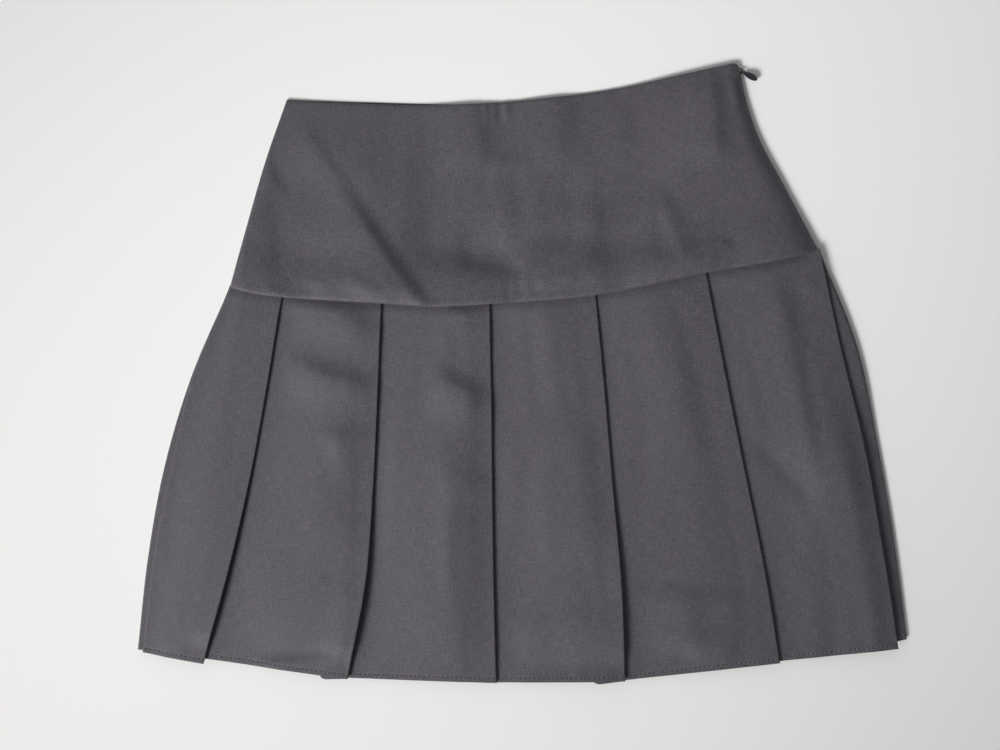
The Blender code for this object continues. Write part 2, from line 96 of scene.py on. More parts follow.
# Points over one pleat: ramp, top, fold, hidden part and the strip under the next pleat
FOLD_STEPS = 6
SIDE_STEPS = 5
RAMP_POINTS = 20
TOP_POINTS = 12
HIDDEN_SHARES = (0.02, 0.2, 0.4, 0.6, 0.78, 0.88, 0.94, 0.98)
UNDER_POINTS = 3
LAST_POINTS = 10

# Shape of a pleat's panel, and how much of the panel's creases its ramp and its fold take
RAMP_AFTER_FOLD = 2.0
RAMP_BEFORE_FOLD = 3.0
LIFT_POWER = 1.8
RAMP_LIFT = 0.4
FOLD_SQUASH = 0.6
FOLD_WEIGHT = 0.35
FOLD_FADE_FROM = 1 / 3
RAMP_FADE_TO = 0.25
EDGE_SUPPORT = 0.4
LIFT_FALL_FROM = 0.91
LIFT_FALL_TO = 0.975
LIFT_LEFT = 0.35
HEM_CORNER = 5.0
HEM_CORNER_RISE = 3.0

Point = namedtuple("Point", "x y")


def points_at(*places):
    """A curve's points, from a table of their places."""
    return [Point(*place) for place in places]


# Seam between the yoke and the pleats, from left to right
YOKE_SEAM = points_at(
    (-213.2, 63.0), (-197.0, 58.9), (-174.6, 55.8), (-102.3, 51.2), (-64.7, 48.9),
    (-23.4, 50.9), (53.1, 57.4), (133.2, 73.6), (183.0, 82.2), (216.5, 89.9),
)

# A line from the seam down to the hem. The bows are its sideways distances from straight
# at a quarter, a half and three quarters of the way down.
BOW_PLACES = (0.0, 0.25, 0.5, 0.75, 1.0)
Edge = namedtuple("Edge", "seam_x hem_x hem_y bow_high bow_mid bow_low")
FRONT_LEFT_EDGE = Edge(-212.7, -276.6, -202.7, -11.5, -11.7, -8.3)
FRONT_RIGHT_EDGE = Edge(216.5, 280.9, -193.6, 12.0, 10.8, 6.9)

# A knife pleat: its outer fold is the line, its hidden part reaches back by the depth, its
# lower end stands up by the lift, which starts at the share lift_from of the way down, the
# next panel's hem starts higher by the step, and the hidden part's hem hangs below the
# panel's by the drop.
Fold = namedtuple(
    "Fold",
    "seam_x hem_x hem_y bow_high bow_mid bow_low seam_depth hem_depth lift lift_from step drop",
)
FRONT_FOLDS = (
    Fold(-174.6, -231.6, -210.7, 3.4, 5.3, 4.2, 24, 21, 3.2, 0.35, 3.3, -1.5),
    Fold(-102.3, -126.8, -221.6, 3.5, 6.4, 7.2, 30, 20.2, 4.8, 0.4, 0.1, 3.6),
    Fold(-23.6, -18.6, -224.7, 0.2, -0.3, -0.5, 30, 21, 0.8, 0.45, -0.2, -1.2),
    Fold(53.3, 74.9, -223.3, 1.5, 2.1, 2.9, 30, 22.6, 3.6, 0.4, 0.1, 2.9),
    Fold(133.6, 187.6, -210.3, 0.1, 0.9, 1.8, 30, 21.5, 0.8, 0.7, 1, -1.4),
    Fold(216.3, 273.6, -199.9, 1.3, 4.2, 2.7, 30, 22, 1.6, 0.1, 5.1, -1),
)

# A crease: a soft ridge on one panel from point 1 to point 2, with a bow to its left, a
# half-width on its left and one on its right, as seen going from 1 to 2, and a height.
Crease = namedtuple("Crease", "panel x1 y1 x2 y2 bow left right height")


def creases_from(*rows):
    """The creases of a piece, from a table of their values."""
    return [Crease(*row) for row in rows]


CREASE_ENDS = 0.3
CREASE_REACH = 3
CREASE_FADE = 8.0
CREASE_AT_SEAM = 0.1
PINCH = 0.6
PINCH_WIDTH = 2.6
FRONT_PLEAT_CREASES = creases_from(
    (0, -263.8, -158.9, -265.3, -115.9, 0, 5, 8, 0.4),
    (0, -266.7, -193.9, -239.1, -201.2, 0, 8, 5, 0.4),
    (1, -145.8, 48.7, -86.1, 45.8, 0, 3, 9, 1),
    (1, -172, 59.6, -83.2, 18.8, 0, 9, 16, 2.1),
    (1, -179.3, 13, -71.5, -13.2, -7, 8, 20, 2.6),
    (1, -147.3, -54, -94.8, -40.9, 0, 10, 24, 1.6),
    (1, -134.2, -142.9, -134.2, -11.8, 0, 26, 12, 1.1),
    (1, -198.3, -212.8, -125.4, -207, 0, 5, 18, 1.4),
    (1, -137.1, -220.1, -112.3, -145.8, 0, 16, 5, 1.1),
    (1, -212.8, -161.8, -118.1, -164.8, 0, 55, 30, 1),
    (2, -59.8, 47.2, -0.1, 48, 0, 3, 9, 1),
    (2, -64.2, 51.6, -3, 38.5, 0, 6, 20, 1.7),
    (2, -71.5, 2.1, 1.3, -28.5, -3, 8, 20, 3.1),
    (2, -53.3, -237.6, -53.3, 2.8, 0, 46, 22, 2.3),
    (2, -53.3, -172, -53.3, -40.9, 0, 8, 5, 0.5),
    (2, -59.8, -78.8, -10.3, -82.4, 0, 9, 14, 1),
    (3, -16.1, 48, 42.1, 49.4, 0, 3, 9, 0.6),
    (3, 50.9, -146.5, 42.1, -19.1, 0, 44, 12, 1.2),
    (3, -23.4, -191, 93.1, -179.3, 0, 14, 26, 1.2),
    (3, -23.4, -231.8, 93.1, -224.5, 0, 12, 8, 1.9),
    (4, 55.3, 51.6, 144.1, 68.4, 0, 3, 9, 0.6),
    (4, 127.4, -77.3, 99, 71.3, 0, 32, 9, 0.8),
    (4, 117.9, -208.5, 117.9, -150.2, 0, 26, 11, 1.6),
    (4, 116.5, -202.6, 158.7, -199.7, 0, 14, 10, 1.1),
    (4, 150, -214.3, 147, -150.2, 0, 32, 16, 1.4),
    (5, 129.6, 66.2, 224.3, 83.7, 0, 3, 9, 0.6),
    (5, 202.4, 59.6, 230.1, 64.7, 0, 8, 7, 1),
    (5, 211.2, -73.7, 184.2, 74.2, 0, 30, 7, 1.3),
    (5, 166, -42.4, 215.5, -100.6, 0, 12, 6, -0.9),
    (5, 233, -230.3, 222.8, -91.9, 0, 12, 50, -1.3),
    (5, 237.4, -113.8, 225.7, 40.7, 0, 26, 12, 1.3),
    (5, 265.1, -237.6, 231.6, -11.8, 0, 36, 13, 2.6),
)


def lerp(start, end, share):
    return start + (end - start) * share


def ease(share):
    """Goes from 0 to 1 with level ends."""
    share = min(max(share, 0.0), 1.0)
    return share * share * (3 - 2 * share)


def smooth_through(known, values, at):
    """The height at one place of a smooth curve through the known points."""
    if known[0] > known[-1]:
        known, values = known[::-1], values[::-1]
    last = len(known) - 2
    i = 0
    while i < last and at > known[i + 1]:
        i += 1
    slopes = []
    for j in (i, i + 1):
        before = max(j - 1, 0)
        after = min(j + 1, len(known) - 1)
        slopes.append((values[after] - values[before]) / (known[after] - known[before]))
    span = known[i + 1] - known[i]
    u = (at - known[i]) / span
    return (
        (2 * u**3 - 3 * u**2 + 1) * values[i]
        + (u**3 - 2 * u**2 + u) * span * slopes[0]
        + (3 * u**2 - 2 * u**3) * values[i + 1]
        + (u**3 - u**2) * span * slopes[1]
    )


def height_of(curve, x):
    """The Y of a curve given by points from left to right."""
    return smooth_through([p.x for p in curve], [p.y for p in curve], x)


def edge_x(edge, t):
    """The X of a fold or an edge at share t of the way from the seam to the hem."""
    bows = (0.0, edge.bow_high, edge.bow_mid, edge.bow_low, 0.0)
    return lerp(edge.seam_x, edge.hem_x, t) + smooth_through(BOW_PLACES, bows, t)


def turn(centre_x, centre_z, radius, start, end, steps):
    """Points along an arc of the cloth's centre line, as (x, z), angles in degrees."""
    points = []
    for i in range(steps + 1):
        angle = math.radians(lerp(start, end, i / steps))
        points.append((centre_x + radius * math.cos(angle), centre_z + radius * math.sin(angle)))
    return points


def side_turn(edge, layer, seam_height, gap, outward):
    """The quarter turn that takes a layer's side edge to the side seam, inner end first."""
    radius = abs(layer - seam_height)
    up = 1 if layer > seam_height else -1
    centre = edge - outward * (CLOTH / 2 + radius)
    stop = math.degrees(math.asin(min((gap / 2 + SEAM_LIP) / radius, SIDE_TURN_MOST)))
    arc = turn(0.0, 0.0, radius, 90.0, stop, SIDE_STEPS)
    return [(centre + outward * x, seam_height + up * z) for x, z in arc]


def crease_height(creases, panel, x, y):
    """How far a panel's soft creases raise its cloth at one place."""
    raised = 0.0
    for crease in creases:
        if crease.panel != panel:
            continue
        long_x = crease.x2 - crease.x1
        long_y = crease.y2 - crease.y1
        length = math.hypot(long_x, long_y)
        away_x = x - crease.x1
        away_y = y - crease.y1
        share = (away_x * long_x + away_y * long_y) / length**2
        if not 0.0 < share < 1.0:
            continue
        aside = (away_y * long_x - away_x * long_y) / length - crease.bow * 4 * share * (1 - share)
        width = crease.left if aside > 0 else crease.right
        if abs(aside) > CREASE_REACH * width:
            continue
        ends = ease(share / CREASE_ENDS) * ease((1 - share) / CREASE_ENDS)
        raised += crease.height * math.exp(-((aside / width) ** 2)) * ends
    return raised


# Faint waves that any laid cloth has: their lengths across and down it, and their height
Wave = namedtuple("Wave", "across down height seed")
FAINT_WAVES = (Wave(21.0, 90.0, 0.5, 0.0), Wave(9.0, 50.0, 0.2, 7.3))


def ripple(across, down, seed):
    """How far the faint waves raise the cloth at one place."""
    raised = 0.0
    for wave in FAINT_WAVES:
        place = Vector((across / wave.across, down / wave.down, seed + wave.seed))
        raised += wave.height * noise.noise(place)
    return raised


def shares_down(length, first, last, step):
    """Shares of a length for its rows: close ones at both ends and even ones between."""
    between = length - first[-1] - last[0]
    count = round(between / step)
    middle = [first[-1] + between * i / count for i in range(1, count)]
    return [d / length for d in list(first) + middle + [length - d for d in last]]


PLEAT_SHARES = shares_down(PLEAT_LENGTH, TOP_ROWS, HEM_ROWS, ROW_STEP)

# A point of a row: where its creases are read, and how much of them it takes
Spot = namedtuple("Spot", "x z panel kind crease_x weight")


def pitch_at(t):
    """The distance between two layers: small where the seam pinches them."""
    return lerp(SEAM_LAYER, LAYER, ease(t / SQUEEZE_END))


def front_layers(t):
    """The heights of the front's lowest and highest layers."""
    return FRONT_UNDER, FRONT_UNDER + 2 * pitch_at(t)


def front_last(t):
    """The height of the front's last strip at the side seam: it sags below the zip's end."""
    return lerp(FRONT_UNDER, LAST_HEIGHT, ease((t - ZIP_END_SHARE) / SAG_SHARE))


def lift_at(fold, t):
    """How far an outer fold stands up: most a little above the hem, where it is pressed again."""
    risen = ease((t - fold.lift_from) / (LIFT_FALL_FROM - fold.lift_from))
    fallen = ease((t - LIFT_FALL_FROM) / (LIFT_FALL_TO - LIFT_FALL_FROM))
    return fold.lift * risen * lerp(1.0, LIFT_LEFT, fallen)


def panel_spots(k, left, right, fold, t, layers, first):
    """A panel from its left end over its outer fold, then back and round its inner fold."""
    under, top = layers
    radius = (top - under) / 4
    middle = (top + under) / 2
    depth = lerp(fold.seam_depth, fold.hem_depth, t)
    lift = lift_at(fold, t)
    ramp_start = left + RAMP_AFTER_FOLD
    ramp_end = right - depth - RAMP_BEFORE_FOLD
    spots = []

    def add(kind, x, z, weight, crease_x=None):
        spots.append(Spot(x, z, k, kind, x if crease_x is None else crease_x, weight))

    if not k:
        add("panel", left + EDGE_SUPPORT, first, 0.0)
    for i in range(RAMP_POINTS):
        share = i / (RAMP_POINTS - 1)
        x = lerp(ramp_start, ramp_end, share)
        z = lerp(first, top, ease(share)) + RAMP_LIFT * lift * share**2
        add("panel", x, z, ease(share / RAMP_FADE_TO))
    fold_centre = right - CLOTH / 2 - radius * FOLD_SQUASH
    for i in range(1, TOP_POINTS):
        share = i / TOP_POINTS
        x = lerp(ramp_end, fold_centre, share)
        z = top + lift * lerp(RAMP_LIFT, 1.0, share)
        faded = ease((share - FOLD_FADE_FROM) / (1 - FOLD_FADE_FROM))
        add("panel", x, z, lerp(1.0, FOLD_WEIGHT, faded))
    add("panel", fold_centre - EDGE_SUPPORT, top + lift, FOLD_WEIGHT)
    for x, z in turn(0.0, top - radius + lift, radius, 90.0, -90.0, FOLD_STEPS):
        add("fold", fold_centre + x * FOLD_SQUASH, z, FOLD_WEIGHT, fold_centre)
    inner_centre = right - depth + CLOTH / 2 + radius
    for share in HIDDEN_SHARES:
        loose = (1 - share) ** LIFT_POWER
        x = lerp(fold_centre, inner_centre, share)
        add("hidden", x, middle + lift * loose, loose * FOLD_WEIGHT, fold_centre)
    for x, z in turn(inner_centre, middle - radius, radius, 90.0, 270.0, FOLD_STEPS):
        add("hidden", x, z, 0.0)
    return spots


def pleat_spots(left_edge, folds, right_edge, layers_at, first_at, last_at, seams):
    """Every row of a pleated cloth, seen from its own face, its layers upwards."""
    rows = []
    for t in PLEAT_SHARES:
        layers = layers_at(t)
        edges = [edge_x(left_edge, t)] + [edge_x(fold, t) for fold in folds]
        start = side_turn(edges[0], first_at(t), seams[0], SEAM_GAP, -1)[::-1]
        row = [Spot(x, z, 0, "panel", x, 0.0) for x, z in start]
        for k, fold in enumerate(folds):
            left = edges[k]
            if k:
                inner = row[-1].x
                for i in range(1, UNDER_POINTS + 1):
                    x = lerp(inner, left - CLOTH / 2, i / UNDER_POINTS)
                    row.append(Spot(x, layers[0], k, "under", x, 0.0))
            else:
                left = start[-1][0]
            first = layers[0] if k else first_at(t)
            row += panel_spots(k, left, edges[k + 1], fold, t, layers, first)
        last = len(folds)
        right = edge_x(right_edge, t)
        end = side_turn(right, last_at(t), seams[1], SEAM_GAP, 1)
        inner = row[-1].x
        sag = layers[0] - last_at(t)
        for i in range(1, LAST_POINTS):
            share = i / LAST_POINTS
            x = lerp(inner, end[0][0], share)
            hump = LAST_HUMP * math.exp(-(((share - LAST_HUMP_AT) / LAST_HUMP_WIDTH) ** 2))
            lowered = ease((share - SAG_FROM) / (1 - SAG_FROM))
            z = lerp(layers[0], last_at(t), lowered) + hump * sag
            row.append(Spot(x, z, last, "under", x, 0.0))
        row += [Spot(x, z, last, "under", x, 0.0) for x, z in end]
        rows.append(row)
    return rows


def along(start, end, x):
    """The Y at x on the straight line through two points."""
    return lerp(start.y, end.y, (x - start.x) / (end.x - start.x))


def hem_relief(t):
    """The groove that the hem's stitching pulls into the cloth."""
    from_stitches = (1 - t) * PLEAT_LENGTH - STITCH_HEIGHT
    return -HEM_GROOVE * math.exp(-((from_stitches / HEM_GROOVE_WIDTH) ** 2))


def corner_rise(away):
    """How far the lower corner of an inner fold is rounded off, at a distance from the fold."""
    share = 1 - min(max(away, 0.0) / HEM_CORNER, 1.0)
    return HEM_CORNER_RISE * (1 - math.sqrt(1 - share**2))


def lay_pleats(rows, left_edge, folds, right_edge, seam_at, creases, seed):
    """Gives every spot its Y and its creases: each column runs straight down to its hem."""
    starts = [Point(left_edge.hem_x, left_edge.hem_y)]
    starts += [Point(fold.hem_x, fold.hem_y + fold.step) for fold in folds]
    ends = [Point(fold.hem_x, fold.hem_y) for fold in folds]
    ends.append(Point(right_edge.hem_x, right_edge.hem_y))
    inner = []
    for fold, start, end in zip(folds, starts, ends):
        x = fold.hem_x - fold.hem_depth
        inner.append(Point(x, along(start, end, x) - fold.drop))
    laid = [[] for _ in rows]
    for column, (top, bottom) in enumerate(zip(rows[0], rows[-1])):
        k = top.panel
        if top.kind == "hidden":
            hem_y = along(inner[k], ends[k], bottom.x) + corner_rise(bottom.x - inner[k].x)
        elif top.kind == "under" and bottom.x < starts[k].x:
            hem_y = along(inner[k - 1], starts[k], bottom.x)
            hem_y += corner_rise(bottom.x - inner[k - 1].x)
        else:
            hem_y = along(starts[k], ends[k], bottom.x)
        seam_y = seam_at(top.x) + TUCK
        for t, row, out in zip(PLEAT_SHARES, rows, laid):
            spot = row[column]
            y = lerp(seam_y, hem_y, t)
            z = spot.z
            if spot.weight:
                waves = ripple(top.crease_x, t * PLEAT_LENGTH, seed) * ease(t / SQUEEZE_END)
                folds = crease_height(creases, k, spot.crease_x, y)
                near_seam = ease((t * PLEAT_LENGTH - TUCK) / CREASE_FADE + CREASE_AT_SEAM)
                z += spot.weight * (folds * near_seam + waves)
            z -= PINCH * math.exp(-(((t * PLEAT_LENGTH - TUCK) / PINCH_WIDTH) ** 2))
            if spot.kind != "hidden":
                z += hem_relief(t)
            out.append(Vector((spot.x, y, z)))
    return laid


def piece_from(name, shape, *materials):
    """The finished piece that a bmesh shapes, smoothly shaded, with its materials."""
    mesh = bpy.data.meshes.new(name)
    shape.to_mesh(mesh)
    shape.free()
    mesh.shade_smooth()
    for material in materials:
        mesh.materials.append(material)
    piece = bpy.data.objects.new(name, mesh)
    bpy.context.scene.collection.objects.link(piece)
    return piece


def cloth_from_rows(name, rows, thickness, material, pressed=None, hem=None):
    """A wall of cloth about the surface through equal rows of points, with its weave's own map."""
    across = len(rows[0]) - 1
    down = len(rows) - 1
    middle = rows[down // 2]
    u_at = [0.0]
    for before, point in zip(middle, middle[1:]):
        u_at.append(u_at[-1] + (point - before).length)
    shape = bmesh.new()
    bmesh.ops.create_grid(shape, x_segments=across, y_segments=down, size=1.0)
    woven = shape.loops.layers.uv.new("weave")
    # Marks the outer folds, for the iron's real polish and for a painted sheen
    polish_and_sheen_mask = shape.verts.layers.float.new("pressed")
    place = {}
    for corner in shape.verts:
        column = round((corner.co.x + 1) / 2 * across)
        row = round((1 - corner.co.y) / 2 * down)
        point = rows[row][column]
        corner.co = point * MM
        corner[polish_and_sheen_mask] = pressed[column] if pressed else 0.0
        place[corner] = (u_at[column] * MM, (point - rows[0][column]).length * -MM)
    for face in shape.faces:
        for loop in face.loops:
            loop[woven].uv = place[loop.vert]
    piece = piece_from(name, shape, material)
    wall = piece.modifiers.new("wall", "SOLIDIFY")
    wall.thickness = thickness * MM
    wall.offset = 0.0
    wall.use_even_offset = True
    if hem:
        group = piece.vertex_groups.new(name="hem")
        for row, share in enumerate(hem):
            first = row * (across + 1)
            group.add(list(range(first, first + across + 1)), share, "REPLACE")
        wall.vertex_group = group.name
    return piece


def node_in(tree, kind, inputs=(), **settings):
    """A node with its settings, and with its inputs set to values or linked to sockets."""
    made = tree.nodes.new(kind)
    for name, value in settings.items():
        setattr(made, name, value)
    for key, value in dict(inputs).items():
        if isinstance(value, bpy.types.NodeSocket):
            tree.links.new(value, made.inputs[key])
        else:
            made.inputs[key].default_value = value
    return made


def reckon(tree, operation, first, second=0.5, third=0.5):
    """The result of a sum on values or sockets."""
    values = {0: first, 1: second, 2: third}
    return node_in(tree, "ShaderNodeMath", values, operation=operation).outputs[0]


def noise_in(tree, place, scale, detail):
    """Noise at a place, between 0 and 1."""
    values = {"Vector": place, "Scale": scale, "Detail": detail}
    return node_in(tree, "ShaderNodeTexNoise", values).outputs["Fac"]


def scaled(tree, vector, scale):
    """A vector or a colour times a value."""
    values = {0: vector, "Scale": scale}
    return node_in(tree, "ShaderNodeVectorMath", values, operation="SCALE").outputs[0]


def new_group(name, vectors, colours, values):
    """A shader group that puts out a colour, a roughness and a height, and its two end nodes."""
    tree = bpy.data.node_groups.new(name, "ShaderNodeTree")
    sides = (
        ("INPUT", (("Vector", vectors), ("Color", colours), ("Float", values))),
        ("OUTPUT", (("Color", ["Colour"]), ("Float", ["Roughness", "Height"]))),
    )
    for side, kinds in sides:
        for kind, labels in kinds:
            for label in labels:
                tree.interface.new_socket(label, in_out=side, socket_type="NodeSocket" + kind)
    return tree, tree.nodes.new("NodeGroupInput"), tree.nodes.new("NodeGroupOutput")


# Steps of noise to a thread: slubs that run along one set of threads and along the other
SLUB_STRETCHES = ((0.9, 0.05, 1.0), (0.05, 0.9, 1.0))
SLUB_DETAIL = 2.0
CLOUD_SCALE = 55.0
CLOUD_DETAIL = 4.0
CLOUD_ROUGHNESS = 0.15
SPECK_SCALE = 800.0
SPECK_DETAIL = 2.0
THREAD_RELIEF = 0.3
SLUB_RELIEF = 0.5
MIDDLE = 0.5


def weave_group():
    """Plain weave read from a map in metres: thread relief, slubs along both threads, mottle."""
    tree, given, out = new_group(
        "plain_weave",
        vectors=["Place"],
        colours=["Colour"],
        values=["Threads", "Slub", "Mottle", "Roughness"],
    )
    place = given.outputs["Place"]
    counted = scaled(tree, place, given.outputs["Threads"])
    split = node_in(tree, "ShaderNodeSeparateXYZ", {0: counted})
    warp = reckon(tree, "SINE", reckon(tree, "MULTIPLY", split.outputs[0], math.pi))
    weft = reckon(tree, "SINE", reckon(tree, "MULTIPLY", split.outputs[1], math.pi))
    crossing = reckon(tree, "MULTIPLY", warp, weft)
    streaks = []
    for stretch in SLUB_STRETCHES:
        drawn = node_in(
            tree, "ShaderNodeVectorMath", {0: counted, 1: stretch}, operation="MULTIPLY"
        ).outputs[0]
        streaks.append(noise_in(tree, drawn, 1.0, SLUB_DETAIL))
    slubs = reckon(tree, "ADD", streaks[0], streaks[1])
    slubs = reckon(tree, "SUBTRACT", slubs, 2 * MIDDLE)
    cloud = noise_in(tree, place, CLOUD_SCALE, CLOUD_DETAIL)
    cloud = reckon(tree, "SUBTRACT", cloud, MIDDLE)
    speck = noise_in(tree, place, SPECK_SCALE, SPECK_DETAIL)
    speck = reckon(tree, "SUBTRACT", speck, MIDDLE)
    shade = reckon(tree, "MULTIPLY_ADD", slubs, given.outputs["Slub"], 1.0)
    shade = reckon(tree, "MULTIPLY_ADD", speck, given.outputs["Slub"], shade)
    shade = reckon(tree, "MULTIPLY_ADD", cloud, given.outputs["Mottle"], shade)
    tint = scaled(tree, given.outputs["Colour"], shade)
    tree.links.new(tint, out.inputs["Colour"])
    rough = reckon(tree, "MULTIPLY_ADD", cloud, CLOUD_ROUGHNESS, given.outputs["Roughness"])
    tree.links.new(rough, out.inputs["Roughness"])
    relief = reckon(tree, "MULTIPLY_ADD", crossing, THREAD_RELIEF, MIDDLE)
    relief = reckon(tree, "MULTIPLY_ADD", slubs, SLUB_RELIEF, relief)
    tree.links.new(relief, out.inputs["Height"])
    return tree


PLAIN_WEAVE = weave_group()


def new_material(name):
    """A node material, with its tree and its shader."""
    material = bpy.data.materials.new(name)
    material.use_nodes = True
    tree = material.node_tree
    return material, tree, tree.nodes["Principled BSDF"]


def set_values(node, values):
    """Sets constants on the sockets of a node."""
    for key, value in values.items():
        node.inputs[key].default_value = value


CLOTH_GLOSS = {
    "Specular IOR Level": 0.55,
    "Sheen Roughness": 0.45,
    "Sheen Tint": (0.8, 0.8, 0.85, 1.0),
}
WEAVE_BUMP = 0.6
PRESSED_SMOOTHNESS = 0.5


def woven_material(name, colour, relief, sheen=0.0, polish_and_sheen=0.0, **weave_values):
    """A cloth finish on the piece's own map. Threads are per metre and relief is in metres."""
    material, tree, shader = new_material(name)
    weave = node_in(tree, "ShaderNodeGroup", node_tree=PLAIN_WEAVE)
    set_values(weave, {"Colour": (*colour, 1.0), **weave_values})
    mapped = node_in(tree, "ShaderNodeUVMap", uv_map="weave")
    tree.links.new(mapped.outputs[0], weave.inputs["Place"])
    polish_and_sheen_mask = node_in(tree, "ShaderNodeAttribute", attribute_name="pressed").outputs["Fac"]
    # Along the pressed folds the colour is lifted as a painted sheen; the lower roughness there is
    # the iron's real polish.
    painted_sheen = reckon(tree, "MULTIPLY_ADD", polish_and_sheen_mask, polish_and_sheen, 1.0)
    tree.links.new(scaled(tree, weave.outputs["Colour"], painted_sheen), shader.inputs["Base Color"])
    smoothing = -PRESSED_SMOOTHNESS * polish_and_sheen
    rough = reckon(tree, "MULTIPLY_ADD", polish_and_sheen_mask, smoothing, weave.outputs["Roughness"])
    tree.links.new(rough, shader.inputs["Roughness"])
    bumped = {"Height": weave.outputs["Height"], "Strength": WEAVE_BUMP, "Distance": relief}
    bump = node_in(tree, "ShaderNodeBump", bumped)
    tree.links.new(bump.outputs[0], shader.inputs["Normal"])
    set_values(shader, {**CLOTH_GLOSS, "Sheen Weight": sheen})
    return material


CHARCOAL = (0.0608, 0.0545, 0.0655)
# The outer folds are polished smoother and painted lighter as a painted sheen.
suiting = woven_material(
    "charcoal_suiting", CHARCOAL, relief=0.00012, sheen=0.12, polish_and_sheen=0.15,
    Threads=2600.0, Slub=1.35, Mottle=0.15, Roughness=0.61,
)

hem_shares = []
for t in PLEAT_SHARES:
    beyond = (1 - t) * PLEAT_LENGTH - HEM_BAND
    hem_shares.append(lerp(1.0, CLOTH / HEM_CLOTH, ease(beyond / HEM_STEP + 0.5)))


def polish_and_sheen_marks(row):
    """Where the iron has polished the cloth along the outer folds, which are also painted lighter
    there as a painted sheen.
    """
    return [1.0 if spot.kind == "fold" else 0.0 for spot in row]


front_spots = pleat_spots(
    FRONT_LEFT_EDGE, FRONT_FOLDS, FRONT_RIGHT_EDGE,
    front_layers, lambda t: FRONT_LEFT, front_last,
    (LEFT_SEAM_HEIGHT, RIGHT_SEAM_HEIGHT),
)
front_rows = lay_pleats(
    front_spots, FRONT_LEFT_EDGE, FRONT_FOLDS, FRONT_RIGHT_EDGE,
    lambda x: height_of(YOKE_SEAM, x), FRONT_PLEAT_CREASES, seed=1.7,
)
front_marks = polish_and_sheen_marks(front_spots[0])
front_pleats = cloth_from_rows(
    "front_pleats_cloth", front_rows, HEM_CLOTH, suiting, front_marks, hem_shares
)
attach(front_pleats, "skirt")
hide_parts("front_pleats")

# ------------------------------------------------
# Hem stitches: one row of lockstitch in charcoal thread, a little paler than the cloth, which
# holds the turned hem. Bars of thread lie on the cloth, with a dark disc of painted shade for
# the needle hole between every two.

STITCH_PITCH = 3.35
STITCH_SIZE = (2.2, 0.5, 0.4)
STITCH_LIFT = 0.05
HOLE_SIZE = (1.1, 0.7, 0.16)
STITCH_SIDES = 6
STITCH_RINGS = 4
THREAD_DARK = (0.114, 0.1122, 0.12)
THREAD_PALE = (0.285, 0.2805, 0.3)
HOLE_SHADE = (0.012, 0.012, 0.014)


def even_places(line, first, pitch):
    """Places at an even pitch along a line, each with its direction and its segment's number."""
    walked = 0.0
    next_at = first
    for segment, (start, end) in enumerate(zip(line, line[1:])):
        way = end - start
        while next_at <= walked + way.length:
            forth = way.normalized()
            yield start + forth * (next_at - walked), forth, segment
            next_at += pitch
        walked += way.length


def hem_stitches(name, rows):
    """Bars of thread along the stitch row, on the cloth's outer face, and dark discs of painted
    shade for the holes between.
    """
    line = rows[STITCH_ROW]
    above = rows[STITCH_ROW - 1]
    shape = bmesh.new()
    places = even_places(line, STITCH_PITCH / 4, STITCH_PITCH / 2)
    for count, (place, forth, segment) in enumerate(places):
        out = forth.cross((above[segment] - line[segment]).normalized()).normalized()
        aside = out.cross(forth)
        # Every other place gets a dark disc flush with the cloth: painted shade in the needle hole.
        hole = count % 2
        place += out * (HEM_CLOTH / 2 + (0.0 if hole else STITCH_LIFT))
        stand = Matrix((forth, aside, out)).transposed().to_4x4()
        size = Matrix.Diagonal((*(HOLE_SIZE if hole else STITCH_SIZE), 1.0))
        bar = Matrix.Translation(place) @ stand @ size
        made = bmesh.ops.create_uvsphere(
            shape, u_segments=STITCH_SIDES, v_segments=STITCH_RINGS, radius=0.5, matrix=bar
        )["verts"]
        for face in {face for corner in made for face in corner.link_faces}:
            face.material_index = hole
    bmesh.ops.scale(shape, vec=(MM, MM, MM), verts=shape.verts)
    piece = piece_from(name, shape, thread, painted_hole_shade)
    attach(piece, "skirt")
    return piece


def speckle_group():
    """Speckle between two colours that also varies the roughness, read from a place."""
    tree, given, out = new_group(
        "speckle",
        vectors=["Place"],
        colours=["Dark", "Pale"],
        values=["Scale", "Detail", "Roughness", "Variation"],
    )
    asked = given.outputs
    speckle = noise_in(tree, asked["Place"], asked["Scale"], asked["Detail"])
    shades = {0: speckle, 6: asked["Dark"], 7: asked["Pale"]}
    tint = node_in(tree, "ShaderNodeMix", shades, data_type="RGBA")
    rough = reckon(tree, "MULTIPLY_ADD", speckle, asked["Variation"], asked["Roughness"])
    tree.links.new(tint.outputs[2], out.inputs["Colour"])
    tree.links.new(rough, out.inputs["Roughness"])
    tree.links.new(speckle, out.inputs["Height"])
    return tree


SPECKLE = speckle_group()


def speckled_material(name, dark, pale, **speckle_values):
    """A finish speckled between two colours, and its speckle node."""
    material, tree, shader = new_material(name)
    speckle = node_in(tree, "ShaderNodeGroup", node_tree=SPECKLE)
    set_values(speckle, {"Dark": (*dark, 1.0), "Pale": (*pale, 1.0), **speckle_values})
    place = node_in(tree, "ShaderNodeTexCoord").outputs["Object"]
    tree.links.new(place, speckle.inputs["Place"])
    tree.links.new(speckle.outputs["Colour"], shader.inputs["Base Color"])
    tree.links.new(speckle.outputs["Roughness"], shader.inputs["Roughness"])
    return material, speckle


thread, _ = speckled_material(
    "charcoal_thread", THREAD_DARK, THREAD_PALE,
    Scale=2500.0, Detail=2.0, Roughness=0.5, Variation=0.2,
)
# Dark discs of painted shade for the needle holes
painted_hole_shade = woven_material(
    "needle_hole_shade", HOLE_SHADE, relief=0.0001,
    Threads=2600.0, Slub=0.3, Mottle=0.1, Roughness=0.9,
)
front_stitches = hem_stitches("front_hem_stitches", front_rows)

# ------------------------------------------------
# Front yoke: a smooth shaped piece of the same cloth from the waist to the hips. Its lower edge
# is turned under and sewn over the tops of the pleats, and its waist edge is faced.

